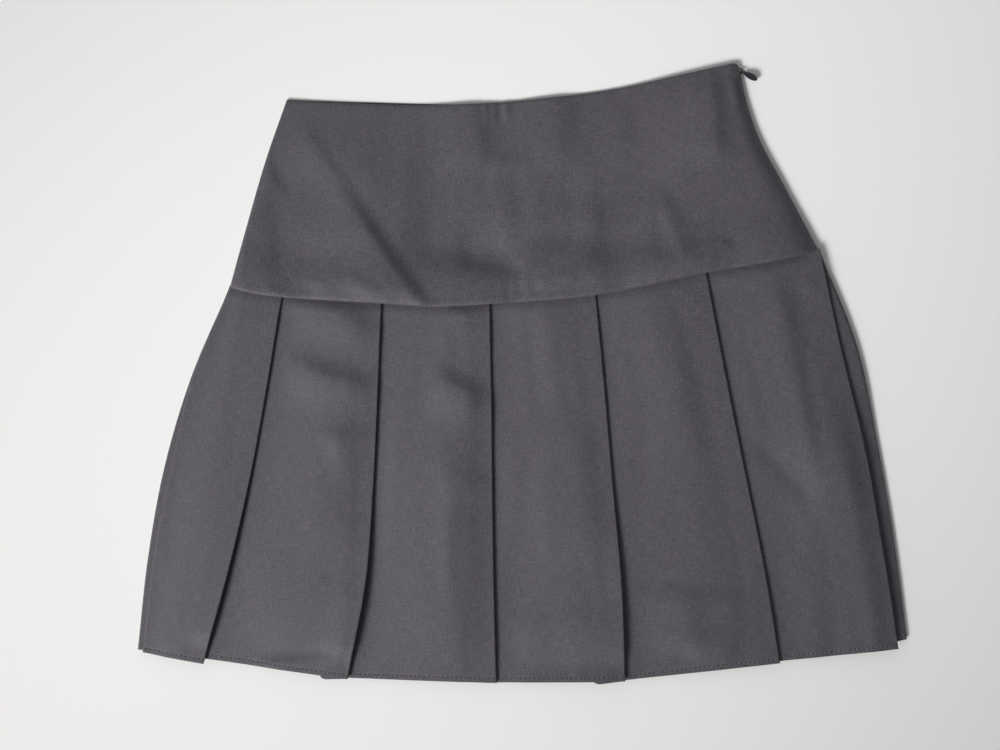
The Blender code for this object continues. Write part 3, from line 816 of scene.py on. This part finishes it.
# Heights of the yoke: along the waist, halfway down, and over the pleats at the seam
WAIST_HEIGHT = 2.6
YOKE_LEVEL = 5.0
SEAM_RISE_FROM = 0.7
SEAM_RISE_TO = 0.965
OVER_STACK = 1.5
RIGHT_CORNER_HEIGHT = 6.3
RIGHT_CORNER_FROM = 0.93
STACK_FALL = 24.0
WAIST_RISE_START = 0.62
YOKE_LENGTH = 145.0
YOKE_COLUMNS = 200
YOKE_STEP = 2.4

# The cloth stands up beside the zip, with a short turn down to the side seam
SWELL = 2.8
SWELL_TURN = (7.5, 14.5)
SWELL_POWER = 2.3
SWELL_REACH = 90.0
SWELL_AT_WAIST = 0.4
SWELL_FULL_AT = 0.2
WAIST_ROWS = (0.0, 0.35, 0.8, 1.4, 2.4, 4.0)
SEAM_ROWS = (10.5, 8.0, 6.0, 4.4, 3.2, 2.3, 1.6, 1.1, 0.7, 0.3, 0.0)

# Rolled edges of the seam and the waist, and the ridge of the seam's turnings under the yoke
EDGE_ROLL = 1.2
SEAM_ROLL_DROP = 0.8
WAIST_ROLL = 1.8
WAIST_ROLL_DROP = 1.0
RIDGE_PLACE = 3.0
RIDGE_WIDTH = 2.2
RIDGE_HEIGHT = 0.22

# Waist corner at the zip, and the slit that opens there
CORNER_RADIUS = 4.5
CORNER_SHARE = 0.1
SIDE_FADE = 5.0
SLIT_WIDTH = 1.8
SLIT_OPEN_TO = 0.07
SLIT_SHUT_AT = 0.10

# How the creases and the faint waves fade near the waist and the seam
WAIST_FADE = 10.0
AT_WAIST = 0.3
SEAM_FADE = 20.0
AT_SEAM = 0.45
WAVE_SHARE = 0.5

# Waist edge of the front, from the left side seam to the right
WAIST = points_at(
    (-172.0, 200.0), (-121.0, 197.3), (-60.0, 196.2), (-1.6, 199.3), (65.5, 207.4),
    (122.7, 219.4), (157.9, 227.1),
)

# Sides of the yoke, from the waist down
YOKE_LEFT = points_at(
    (-172.0, 200.0), (-187.3, 155.8), (-202.0, 104.4), (-213.2, 63.0),
)
YOKE_RIGHT = points_at(
    (157.9, 227.1), (163.1, 201.2), (173.4, 170.9), (190.2, 139.3), (216.5, 89.9),
)

YOKE_CREASES = creases_from(
    (0, -54.7, 21, -136.3, 137.6, 1, 36, 7, 3.7),
    (0, -113.8, 109.2, -169.1, 190.8, 0, 14, 6, 1.3),
    (0, -87.5, 113.5, -163.3, 195.1, 0, 12, 24, 0.9),
    (0, -172, 53.8, -178.6, 163.1, 0, 11, 40, -1.7),
    (0, -170.6, 123.7, -201.2, 170.4, 0, 14, 4, 1.1),
    (0, -172, 71.3, -125.4, 71.3, 0, 9, 14, 0.8),
    (0, -134.2, 75.7, -100.6, 53.8, 0, 5, 9, 0.9),
    (0, -161.8, 70.6, -141.4, 64.7, 0, 3, 4, 0.5),
    (0, -189.5, 66.2, -173.5, 56.7, 0, 3, 4, 0.5),
    (0, -94.8, 99, 5.7, 87.3, 0, 50, 15, -3.2),
    (0, -52.6, 85.9, 7.2, 77.1, 0, 20, 7, -2.2),
    (0, -16.1, 99, 56.7, 104.8, 0, 50, 12, -2.7),
    (0, 7.9, 62.5, 42.1, 74.9, 0, 4, 5, 0.9),
    (0, 49.4, 55.3, 48.7, 133.9, 0, 50, 15, 1.7),
    (0, 37.8, 90.2, 125.2, 100.4, 0, 46, 12, -3),
    (0, 125.2, 61.1, 93.1, 141.2, 0, 50, 10, 3.3),
    (0, 117.2, 89.5, 157.2, 93.9, 0, 4.5, 8, 1.2),
    (0, 119.4, 82.2, 144.1, 85.1, 0, 3.5, 6, 0.9),
    (0, 141.9, 147, 134.7, 227.2, 0, 34, 8, 2.4),
    (0, -30, 141.2, -40.2, 218.4, 0, 24, 10, 1.9),
    (0, -25.6, 179.1, -27.1, 211.2, 0, 2.5, 2.5, 0.7),
    (0, -20.5, 177.6, -21.2, 211.2, 0, 2.5, 2.5, 0.7),
    (0, -11, 182, -12.5, 211.2, 0, 2.5, 2.5, 0.7),
    (0, -27.8, 155.1, 11.5, 152.9, 0, 6, 10, 0.9),
    (0, 26.1, 144.1, 21.7, 221.4, 0, 22, 14, 1.9),
    (0, 77.1, 147, 65.5, 203.9, 0, 16, 12, 0.8),
    (0, -14, 52.3, -16.1, 71.3, 0, 2.5, 2.5, 0.4),
    (0, -6.7, 52.3, -5.9, 72.7, 0, 2.5, 2.5, 0.4),
    (0, 4.3, 53.8, 2.8, 73.5, 0, 2.5, 2.5, 0.4),
    (0, 162.3, 190.8, 153.6, 217, 0, 6, 3.5, 1.2),
)


def side_of(curve, y):
    """The X of a side given by points from top to bottom."""
    return smooth_through([p.y for p in curve], [p.x for p in curve], y)


def stack_at_seam(x):
    """How high the pinched pleats stand under the yoke's lower edge."""
    top = FRONT_UNDER + 2 * SEAM_LAYER
    left = FRONT_LEFT_EDGE.seam_x
    low = FRONT_LEFT
    for k, fold in enumerate(FRONT_FOLDS):
        if x <= fold.seam_x:
            ramp = fold.seam_x - fold.seam_depth - RAMP_BEFORE_FOLD - left
            height = lerp(low, top, ease((x - left) / ramp))
            fallen = ease((x - left) / STACK_FALL) if k else 1.0
            return lerp(top, height, fallen)
        left = fold.seam_x
        low = FRONT_UNDER
    return top


def front_yoke_level(x, share, t):
    """Height of the front yoke: low along the waist, then up over the zip and the pleats."""
    over_zip = ease((share - WAIST_RISE_START) / (1 - WAIST_RISE_START))
    waist = lerp(WAIST_HEIGHT, FRONT_UNDER, over_zip)
    at_corner = ease((share - RIGHT_CORNER_FROM) / (1 - RIGHT_CORNER_FROM))
    at_seam = lerp(stack_at_seam(x) + OVER_STACK, RIGHT_CORNER_HEIGHT, at_corner)
    rise = ease((t - SEAM_RISE_FROM) / (SEAM_RISE_TO - SEAM_RISE_FROM))
    level = lerp(waist, YOKE_LEVEL, ease(t / SEAM_RISE_FROM))
    return lerp(level, at_seam, rise)


def swell_at(away, t):
    """The swelling beside the zip, at a distance from the yoke's right edge."""
    turned = lerp(*SWELL_TURN, t)
    high = SWELL * lerp(SWELL_AT_WAIST, 1.0, ease(t / SWELL_FULL_AT))
    if away < turned:
        return high * (1 - (1 - max(away, 0.0) / turned) ** SWELL_POWER)
    return high * ease(1 - (away - turned) / SWELL_REACH)


def rolled(away, reach, drop):
    """How far an edge that is turned under curls down, at a distance from it."""
    return drop * max(1 - away / reach, 0.0) ** 2


def slit_at(t):
    """The opening between the zip's two seam edges: it gapes round the slider, then shuts."""
    return lerp(SLIT_WIDTH, SEAM_GAP, ease((t - SLIT_OPEN_TO) / (SLIT_SHUT_AT - SLIT_OPEN_TO)))


def yoke_rows(level_at, waist_at, relief_at, swell):
    """Rows of points over a yoke, from the waist edge down to the seam."""
    rows = []
    for t in shares_down(YOKE_LENGTH, WAIST_ROWS, SEAM_ROWS, YOKE_STEP):
        left = side_of(YOKE_LEFT, lerp(WAIST[0].y, YOKE_SEAM[0].y, t))
        right = side_of(YOKE_RIGHT, lerp(WAIST[-1].y, YOKE_SEAM[-1].y, t))
        left_seam = (front_yoke_level(left, 0.0, t) + BACK_FACE) / 2
        start = side_turn(left, level_at(left, 0.0, t), left_seam, SEAM_GAP, -1)[::-1]
        end = side_turn(right, level_at(right, 1.0, t), RIGHT_SEAM_HEIGHT, slit_at(t), 1)
        line = [(x, z, 0.0) for x, z in start]
        support = EDGE_SUPPORT / (end[0][0] - start[-1][0])
        shares = [i / YOKE_COLUMNS for i in range(1, YOKE_COLUMNS)]
        for across in [support] + shares + [1 - support]:
            x = lerp(start[-1][0], end[0][0], across)
            inside = min(x - start[-1][0], end[0][0] - x)
            z = level_at(x, (x - left) / (right - left), t) + swell * swell_at(end[0][0] - x, t)
            line.append((x, z, ease(inside / SIDE_FADE)))
        line += [(x, z, 0.0) for x, z in end]
        row = []
        for x, z, weight in line:
            share = (x - left) / (right - left)
            top = waist_at(lerp(WAIST[0].x, WAIST[-1].x, share))
            past = max(x - (right - CORNER_RADIUS), 0.0)
            cut = CORNER_RADIUS - math.sqrt(max(CORNER_RADIUS**2 - past**2, 0.0))
            top -= cut * (1 - ease(t / CORNER_SHARE))
            bottom = height_of(YOKE_SEAM, lerp(YOKE_SEAM[0].x, YOKE_SEAM[-1].x, share))
            y = lerp(top, bottom, t)
            row.append(Vector((x, y, z + relief_at(x, y, t, weight))))
        rows.append(row)
    return rows


def front_yoke_relief(x, y, t, weight):
    """Creases, the ridge over the seam's turnings, and the rolled waist and seam edges."""
    above_seam = (1 - t) * YOKE_LENGTH
    below_waist = t * YOKE_LENGTH
    ridge = RIDGE_HEIGHT * math.exp(-(((above_seam - RIDGE_PLACE) / RIDGE_WIDTH) ** 2))
    roll = rolled(above_seam, EDGE_ROLL, SEAM_ROLL_DROP)
    roll += rolled(below_waist, WAIST_ROLL, WAIST_ROLL_DROP)
    if not weight:
        return -roll / 2
    ends = ease(below_waist / WAIST_FADE + AT_WAIST) * ease(above_seam / WAIST_FADE)
    waves = WAVE_SHARE * ripple(x, below_waist, seed=4.1) * ends
    creases = crease_height(YOKE_CREASES, 0, x, y) * ease(above_seam / SEAM_FADE + AT_SEAM)
    return weight * (ridge + creases + waves) - roll


def front_waist(x):
    """The front's waist edge."""
    return height_of(WAIST, x)


front_yoke_points = yoke_rows(front_yoke_level, front_waist, front_yoke_relief, swell=1.0)
front_yoke = cloth_from_rows("front_yoke_cloth", front_yoke_points, CLOTH, suiting)
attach(front_yoke, "skirt")
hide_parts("front_yoke")

# ------------------------------------------------
# Back pleats: the same kind of strip, laid out as seen from behind and then turned over to lie
# under the front, with its outer face on the surface.

BACK_TUCK_DEPTH = 0.75
BACK_TUCK_SHARE = 0.02
BACK_LEFT_EDGE = Edge(-216.5, -280.9, -193.6, -12.0, -10.8, -6.9)
BACK_RIGHT_EDGE = Edge(212.7, 276.6, -200.4, 11.5, 11.7, 8.3)
BACK_FOLDS = (
    Fold(-139, -188, -206.5, -3, -4, -3, 30, 22, 0, 0, 0.5, -1),
    Fold(-68, -95, -215, -1, -2, -1.5, 30, 21, 0, 0, -0.5, -1.2),
    Fold(3, 0, -219.5, 0.5, 0, -0.5, 30, 22, 0, 0, 0.4, -1),
    Fold(74, 95, -218, 1, 2.5, 2, 30, 21, 0, 0, 0.5, -1.2),
    Fold(145, 190, -209.5, 3, 5, 3.5, 30, 22, 0, 0, 0.4, -1),
    Fold(213.2, 280.9, -201.4, 11.6, 14.5, 9.6, 28, 22, 0, 0, 1, -1),
)

# Hollows that the surface presses up into the back, as heights below zero
BACK_PLEAT_CREASES = creases_from(
    (5, -235, -170, -200, 10, 3, 12, 10, -0.5),
    (4, -150, -60, -90, -40, 3, 12, 9, -0.5),
    (3, -60, -180, -52, -20, -2, 10, 14, -0.5),
    (2, 20, -120, 60, -96, 2, 12, 10, -0.5),
    (1, 120, -190, 104, -40, 2, 10, 12, -0.5),
    (0, 190, -150, 170, 20, -3, 14, 10, -0.5),
)


def back_layers(t):
    """The heights of the back's inmost and outmost layers, before it is turned over."""
    top = FRONT_TOP - BACK_TUCK_DEPTH * (1 - ease(t / BACK_TUCK_SHARE))
    return top - 2 * pitch_at(t), top


back_spots = pleat_spots(
    BACK_LEFT_EDGE, BACK_FOLDS, BACK_RIGHT_EDGE,
    back_layers, lambda t: back_layers(t)[1], lambda t: back_layers(t)[0],
    (STACK_HEIGHT - RIGHT_SEAM_HEIGHT, STACK_HEIGHT - LEFT_SEAM_HEIGHT),
)
back_rows = lay_pleats(
    back_spots, BACK_LEFT_EDGE, BACK_FOLDS, BACK_RIGHT_EDGE,
    lambda x: height_of(YOKE_SEAM, -x), BACK_PLEAT_CREASES, seed=9.2,
)
floor_height = STACK_HEIGHT - CLOTH / 2
back_rows = [
    [Vector((-p.x, p.y, STACK_HEIGHT - min(p.z, floor_height))) for p in row] for row in back_rows
]
back_marks = polish_and_sheen_marks(back_spots[0])
back_pleats = cloth_from_rows(
    "back_pleats_cloth", back_rows, HEM_CLOTH, suiting, back_marks, hem_shares
)
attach(back_pleats, "skirt")
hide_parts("back_pleats")
back_stitches = hem_stitches("back_hem_stitches", back_rows)

# ------------------------------------------------
# Back yoke: the twin of the front yoke, lying on the surface under it. Its waist edge stands a
# little above the front's at the left.

BACK_WAIST_RISE = 1.5
BACK_WAIST_RISE_AT = -103.0
BACK_WAIST_RISE_REACH = 110.0
BACK_FADE = 12.0
BACK_YOKE_CREASES = creases_from(
    (0, -60, 70, -110, 150, 3, 16, 9, 0.9),
    (0, 20, 80, 60, 150, -3, 12, 14, 0.8),
    (0, 110, 100, 140, 190, 2, 10, 10, 0.7),
)


def back_waist(x):
    """The back's waist edge."""
    away = abs(x - BACK_WAIST_RISE_AT) / BACK_WAIST_RISE_REACH
    return height_of(WAIST, x) + BACK_WAIST_RISE * (1 - ease(away))


def back_yoke_relief(x, y, t, weight):
    """The back's creases, which end before its waist and its seam."""
    inner = ease(t * YOKE_LENGTH / BACK_FADE) * ease((1 - t) * YOKE_LENGTH / BACK_FADE)
    return weight * inner * crease_height(BACK_YOKE_CREASES, 0, x, y)


back_yoke_points = yoke_rows(
    lambda x, share, t: BACK_FACE, back_waist, back_yoke_relief, swell=0.0
)
back_yoke_points = [row[::-1] for row in back_yoke_points]
back_yoke = cloth_from_rows("back_yoke_cloth", back_yoke_points, CLOTH, suiting)
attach(back_yoke, "skirt")
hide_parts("back_yoke")

# ------------------------------------------------
# Concealed zip: two woven polyester tapes lying on each other inside the right side seam, with
# a nylon coil sewn along their outer edges. It is closed, and the seam hides it.

ZIP_TOP_Y = 214.5
ZIP_END_Y = 12.0
ZIP_ROWS = 60
TAPE_WIDTH = 12.0
TAPE_INSET = 3.9
TAPE_COLUMNS = 8
TAPE_THICKNESS = 0.45
TAPE_APART = 0.6
COIL_INSET = 2.8
COIL_PITCH = 1.1
COIL_SIZE = (1.4, 0.78, 1.35)
COIL_SIDES = 8
COIL_RINGS = 5
WEBBING = (0.035, 0.034, 0.040)
NYLON_DARK = (0.022, 0.022, 0.027)
NYLON_PALE = (0.045, 0.044, 0.052)


def zip_edge(y):
    """The outer edge of the right side, down the yoke and then down the pleats."""
    corner = YOKE_SEAM[-1].y
    if y >= corner:
        return Vector((side_of(YOKE_RIGHT, y), y, RIGHT_SEAM_HEIGHT))
    t = (corner - y) / (corner - FRONT_RIGHT_EDGE.hem_y)
    return Vector((edge_x(FRONT_RIGHT_EDGE, t), y, RIGHT_SEAM_HEIGHT))


def zip_directions(y):
    """At one place on the zip: outwards from the side seam, and up along it."""
    upwards = (zip_edge(y + 1.0) - zip_edge(y - 1.0)).normalized()
    outwards = Vector((upwards.y, -upwards.x, 0.0))
    return outwards, upwards


def zip_line(inset, lift=0.0):
    """Points down the zip at one distance inside the edge."""
    points = []
    for i in range(ZIP_ROWS + 1):
        y = lerp(ZIP_TOP_Y, ZIP_END_Y, i / ZIP_ROWS)
        outwards, _ = zip_directions(y)
        points.append(zip_edge(y) - outwards * inset + Vector((0.0, 0.0, lift)))
    return points


webbing = woven_material(
    "zip_webbing_cloth", WEBBING, relief=0.00015, sheen=0.1,
    Threads=1800.0, Slub=0.3, Mottle=0.1, Roughness=0.8,
)
nylon, _ = speckled_material(
    "coil_nylon", NYLON_DARK, NYLON_PALE, Scale=900.0, Detail=2.0, Roughness=0.32, Variation=0.2
)

for label, lift in (("upper", TAPE_APART / 2), ("lower", -TAPE_APART / 2)):
    inner = zip_line(TAPE_INSET + TAPE_WIDTH, lift)
    outer = zip_line(TAPE_INSET, lift)
    rows = []
    for start, end in zip(inner, outer):
        rows.append([start.lerp(end, i / TAPE_COLUMNS) for i in range(TAPE_COLUMNS + 1)])
    tape = cloth_from_rows("zip_tape_" + label, rows, TAPE_THICKNESS, webbing)
    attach(tape, "skirt")
    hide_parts("zip_tapes")

UPWARDS = Vector((0.0, 0.0, 1.0))
coil_shape = bmesh.new()
for place, forth, _ in even_places(zip_line(COIL_INSET), 0.0, COIL_PITCH):
    stand = Matrix((forth.cross(UPWARDS), forth, UPWARDS)).transposed().to_4x4()
    rib = Matrix.Translation(place) @ stand @ Matrix.Diagonal((*COIL_SIZE, 1.0))
    bmesh.ops.create_uvsphere(
        coil_shape, u_segments=COIL_SIDES, v_segments=COIL_RINGS, radius=0.5, matrix=rib
    )
bmesh.ops.scale(coil_shape, vec=(MM, MM, MM), verts=coil_shape.verts)
zip_coil = piece_from("zip_coil", coil_shape, nylon)
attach(zip_coil, "skirt")
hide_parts("zip_chain")

# ------------------------------------------------
# Slider: a small lacquered die casting inside the seam, with its wire bridge out through the
# slit at the waist. The solid's shape is right and stays, with a lacquer finish.

LACQUER = (0.007, 0.008, 0.013)
ENAMEL = (0.008, 0.009, 0.016)
LACQUER_DARKEST = 0.7
LACQUER_PALEST = 1.4
LACQUER_GLOSS = {"Specular IOR Level": 0.3, "Coat Weight": 0.05, "Coat Roughness": 0.2}
LACQUER_BUMP = {"Strength": 0.3, "Distance": 0.00005}


def lacquer_material(name, colour, roughness):
    """Dark lacquer over metal, faintly uneven and a little scuffed."""
    dark = [LACQUER_DARKEST * part for part in colour]
    pale = [LACQUER_PALEST * part for part in colour]
    material, speckle = speckled_material(
        name, dark, pale, Scale=1400.0, Detail=3.0, Roughness=roughness, Variation=0.25
    )
    tree = material.node_tree
    shader = tree.nodes["Principled BSDF"]
    bump = node_in(tree, "ShaderNodeBump", {"Height": speckle.outputs["Height"], **LACQUER_BUMP})
    tree.links.new(bump.outputs[0], shader.inputs["Normal"])
    set_values(shader, LACQUER_GLOSS)
    return material


lacquer = lacquer_material("slider_lacquer", LACQUER, roughness=0.48)
enamel = lacquer_material("pull_enamel", ENAMEL, roughness=0.33)
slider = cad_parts["zip_slider"]
for slot in slider.material_slots:
    slot.material = lacquer

# ------------------------------------------------
# Pull: a flat metal drop, cast with a raised rim round its enamelled face and with an eye at its
# narrow end. The eye hangs on the slider's bridge, so the pull swings.

SLIDER_Y = 221.2
BRIDGE_RADIUS = 1.55
BRIDGE_OUT = 0.6
PULL_LENGTH = 13.8
PULL_WIDTH = 5.4
PULL_THICKNESS = 0.8
PULL_WIDEST_SHARE = 0.6
PULL_FULLNESS = 0.6
PULL_POINTS = 28
PULL_RIM = 0.42
PULL_RECESS = 0.2
PULL_RECESS_SLOPE = 0.1
PULL_EDGE = 0.12
PULL_CREASE = math.radians(50)
FLAT_ENOUGH = 0.9
EYE_RADIUS = 1.38
EYE_SECTION = (0.4, 0.4)
EYE_SIDES = 12
EYE_STEPS = 32
PULL_HEIGHT = 2.55
PULL_TURN = Euler((math.radians(57.0), math.radians(-4.0), math.radians(-30.0)))


def pull_half_width(x):
    """Half the width of the drop at a distance from the bridge's centre."""
    share = (x - BRIDGE_RADIUS) / (PULL_LENGTH - BRIDGE_RADIUS)
    widest = math.log(0.5) / math.log(PULL_WIDEST_SHARE)
    return PULL_WIDTH / 2 * max(math.sin(math.pi * share**widest), 0.0) ** PULL_FULLNESS


pull_shape = bmesh.new()
neck = BRIDGE_RADIUS + EYE_RADIUS
upper = []
for i in range(PULL_POINTS):
    share = (1 - math.cos(math.pi * i / (PULL_POINTS - 1))) / 2
    x = lerp(neck, PULL_LENGTH, share)
    upper.append((x, pull_half_width(x)))
lower = [(x, -half) for x, half in upper[-2::-1]]
rim = [pull_shape.verts.new((x, y, PULL_THICKNESS / 2)) for x, y in upper + lower]
face = pull_shape.faces.new(rim[::-1])
face.normal_update()
if face.normal.z < 0:
    face.normal_flip()
grown = bmesh.ops.extrude_face_region(pull_shape, geom=[face], use_keep_orig=True)["geom"]
under = [part for part in grown if isinstance(part, bmesh.types.BMVert)]
bmesh.ops.translate(pull_shape, verts=under, vec=(0.0, 0.0, -PULL_THICKNESS))
bmesh.ops.recalc_face_normals(pull_shape, faces=pull_shape.faces[:])
flats = [part for part in pull_shape.faces if abs(part.normal.z) > FLAT_ENOUGH]
outer_edges = [edge for part in flats for edge in part.edges]
bmesh.ops.inset_individual(pull_shape, faces=flats, thickness=PULL_RIM, depth=0.0)
inner_faces = [part for part in flats if part.is_valid]
bmesh.ops.inset_individual(
    pull_shape, faces=inner_faces, thickness=PULL_RECESS_SLOPE, depth=-PULL_RECESS
)
for part in inner_faces:
    part.material_index = 1
bmesh.ops.bevel(
    pull_shape, geom=[edge for edge in outer_edges if edge.is_valid],
    offset=PULL_EDGE, segments=2, profile=0.5, affect="EDGES", material=-1,
)
eye = bmesh.new()
section = Matrix.Translation((neck, 0.0, 0.0))
section = section @ Matrix.Rotation(math.pi / 2, 4, "X") @ Matrix.Diagonal((*EYE_SECTION, 1.0, 1.0))
bmesh.ops.create_circle(eye, segments=EYE_SIDES, radius=1.0, matrix=section)
bmesh.ops.spin(
    eye, geom=eye.verts[:] + eye.edges[:], cent=(BRIDGE_RADIUS, 0.0, 0.0),
    axis=(0.0, 0.0, 1.0), angle=2 * math.pi, steps=EYE_STEPS, use_merge=True,
)
bmesh.ops.recalc_face_normals(eye, faces=eye.faces[:])
eye_mesh = bpy.data.meshes.new("pull_eye")
eye.to_mesh(eye_mesh)
eye.free()
pull_shape.from_mesh(eye_mesh)
bpy.data.meshes.remove(eye_mesh)
slider_out, _ = zip_directions(SLIDER_Y)
pull_place = zip_edge(SLIDER_Y) + slider_out * BRIDGE_OUT
pull_place.z = PULL_HEIGHT
stand = Matrix.Translation(pull_place) @ PULL_TURN.to_matrix().to_4x4()
bmesh.ops.transform(pull_shape, matrix=Matrix.Scale(MM, 4) @ stand, verts=pull_shape.verts)
zip_pull = piece_from("zip_pull_drop", pull_shape, lacquer, enamel)
zip_pull.data.set_sharp_from_angle(angle=PULL_CREASE)
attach(zip_pull, "zip_pull")
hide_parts("zip_pull")

# ------------------------------------------------
# Stage: a plain pale floor, one soft spotlight from the lower left, a surround that is paler on
# that side, and the camera straight above, as in the photograph.

FLOOR_SIZE = 12.0
FLOOR = (0.80, 0.79, 0.78, 1.0)
FLOOR_FINISH = {"Base Color": FLOOR, "Roughness": 0.8, "Specular IOR Level": 0.2}
CAMERA_AT = (-16.14, -0.84)
CAMERA_HEIGHT = 1.1
FRAME_WIDTH = 0.7285
SENSOR = 36.0
CLOTH_PLANE = 0.005
LIGHT_FROM = Vector((-0.72, -0.69, 0.0)).normalized()
LIGHT_ELEVATION = math.radians(38.0)
LIGHT_DISTANCE = 3.0
LIGHT_RADIUS = 0.7
LIGHT_CONE = math.radians(30.0)
LIGHT_AIM = Vector((-0.1, 0.06, 0.0))
LIGHT_POWER = 720.0
LIGHT_BLEND = 1.0
PALE_SIDE = (0.62, 0.62, 0.625, 1.0)
DARK_SIDE = (0.06, 0.06, 0.062, 1.0)
DARK_TOWARDS = (0.95, -0.3, 0.0)
SIDE_SPREAD = 0.75

floor_shape = bmesh.new()
bmesh.ops.create_grid(floor_shape, x_segments=1, y_segments=1, size=FLOOR_SIZE / 2)
paint, _, paint_shader = new_material("pale_floor")
set_values(paint_shader, FLOOR_FINISH)
floor = piece_from("floor", floor_shape, paint)

lamp = bpy.data.lights.new("soft_light", "SPOT")
lamp.shadow_soft_size = LIGHT_RADIUS
lamp.spot_size = LIGHT_CONE
lamp.spot_blend = LIGHT_BLEND
lamp.energy = LIGHT_POWER
lamp_way = LIGHT_FROM * math.cos(LIGHT_ELEVATION) + Vector((0.0, 0.0, math.sin(LIGHT_ELEVATION)))
soft_light = bpy.data.objects.new("soft_light", lamp)
soft_light.location = lamp_way * LIGHT_DISTANCE
soft_light.rotation_euler = (soft_light.location - LIGHT_AIM).to_track_quat("Z", "Y").to_euler()
bpy.context.scene.collection.objects.link(soft_light)

world = bpy.data.worlds.new("surround")
world.use_nodes = True
sky_tree = world.node_tree
sky_way = node_in(sky_tree, "ShaderNodeTexCoord").outputs["Generated"]
sky_side = node_in(
    sky_tree, "ShaderNodeVectorMath", {0: sky_way, 1: DARK_TOWARDS}, operation="DOT_PRODUCT"
).outputs["Value"]
sky_share = node_in(
    sky_tree,
    "ShaderNodeMapRange",
    {"Value": sky_side, "From Min": -SIDE_SPREAD, "From Max": SIDE_SPREAD},
    interpolation_type="SMOOTHSTEP",
).outputs[0]
sky_tone = node_in(
    sky_tree, "ShaderNodeMix", {0: sky_share, 6: PALE_SIDE, 7: DARK_SIDE}, data_type="RGBA"
).outputs[2]
sky_tree.links.new(sky_tone, sky_tree.nodes["Background"].inputs["Color"])
bpy.context.scene.world = world
bpy.context.scene.view_settings.view_transform = "Standard"

camera_data = bpy.data.cameras.new("camera")
camera_data.sensor_width = SENSOR
camera_data.sensor_fit = "HORIZONTAL"
camera_data.lens = SENSOR * CAMERA_HEIGHT / FRAME_WIDTH
camera = bpy.data.objects.new("camera", camera_data)
camera.location = (CAMERA_AT[0] * MM, CAMERA_AT[1] * MM, CAMERA_HEIGHT + CLOTH_PLANE)
bpy.context.scene.collection.objects.link(camera)
bpy.context.scene.camera = camera
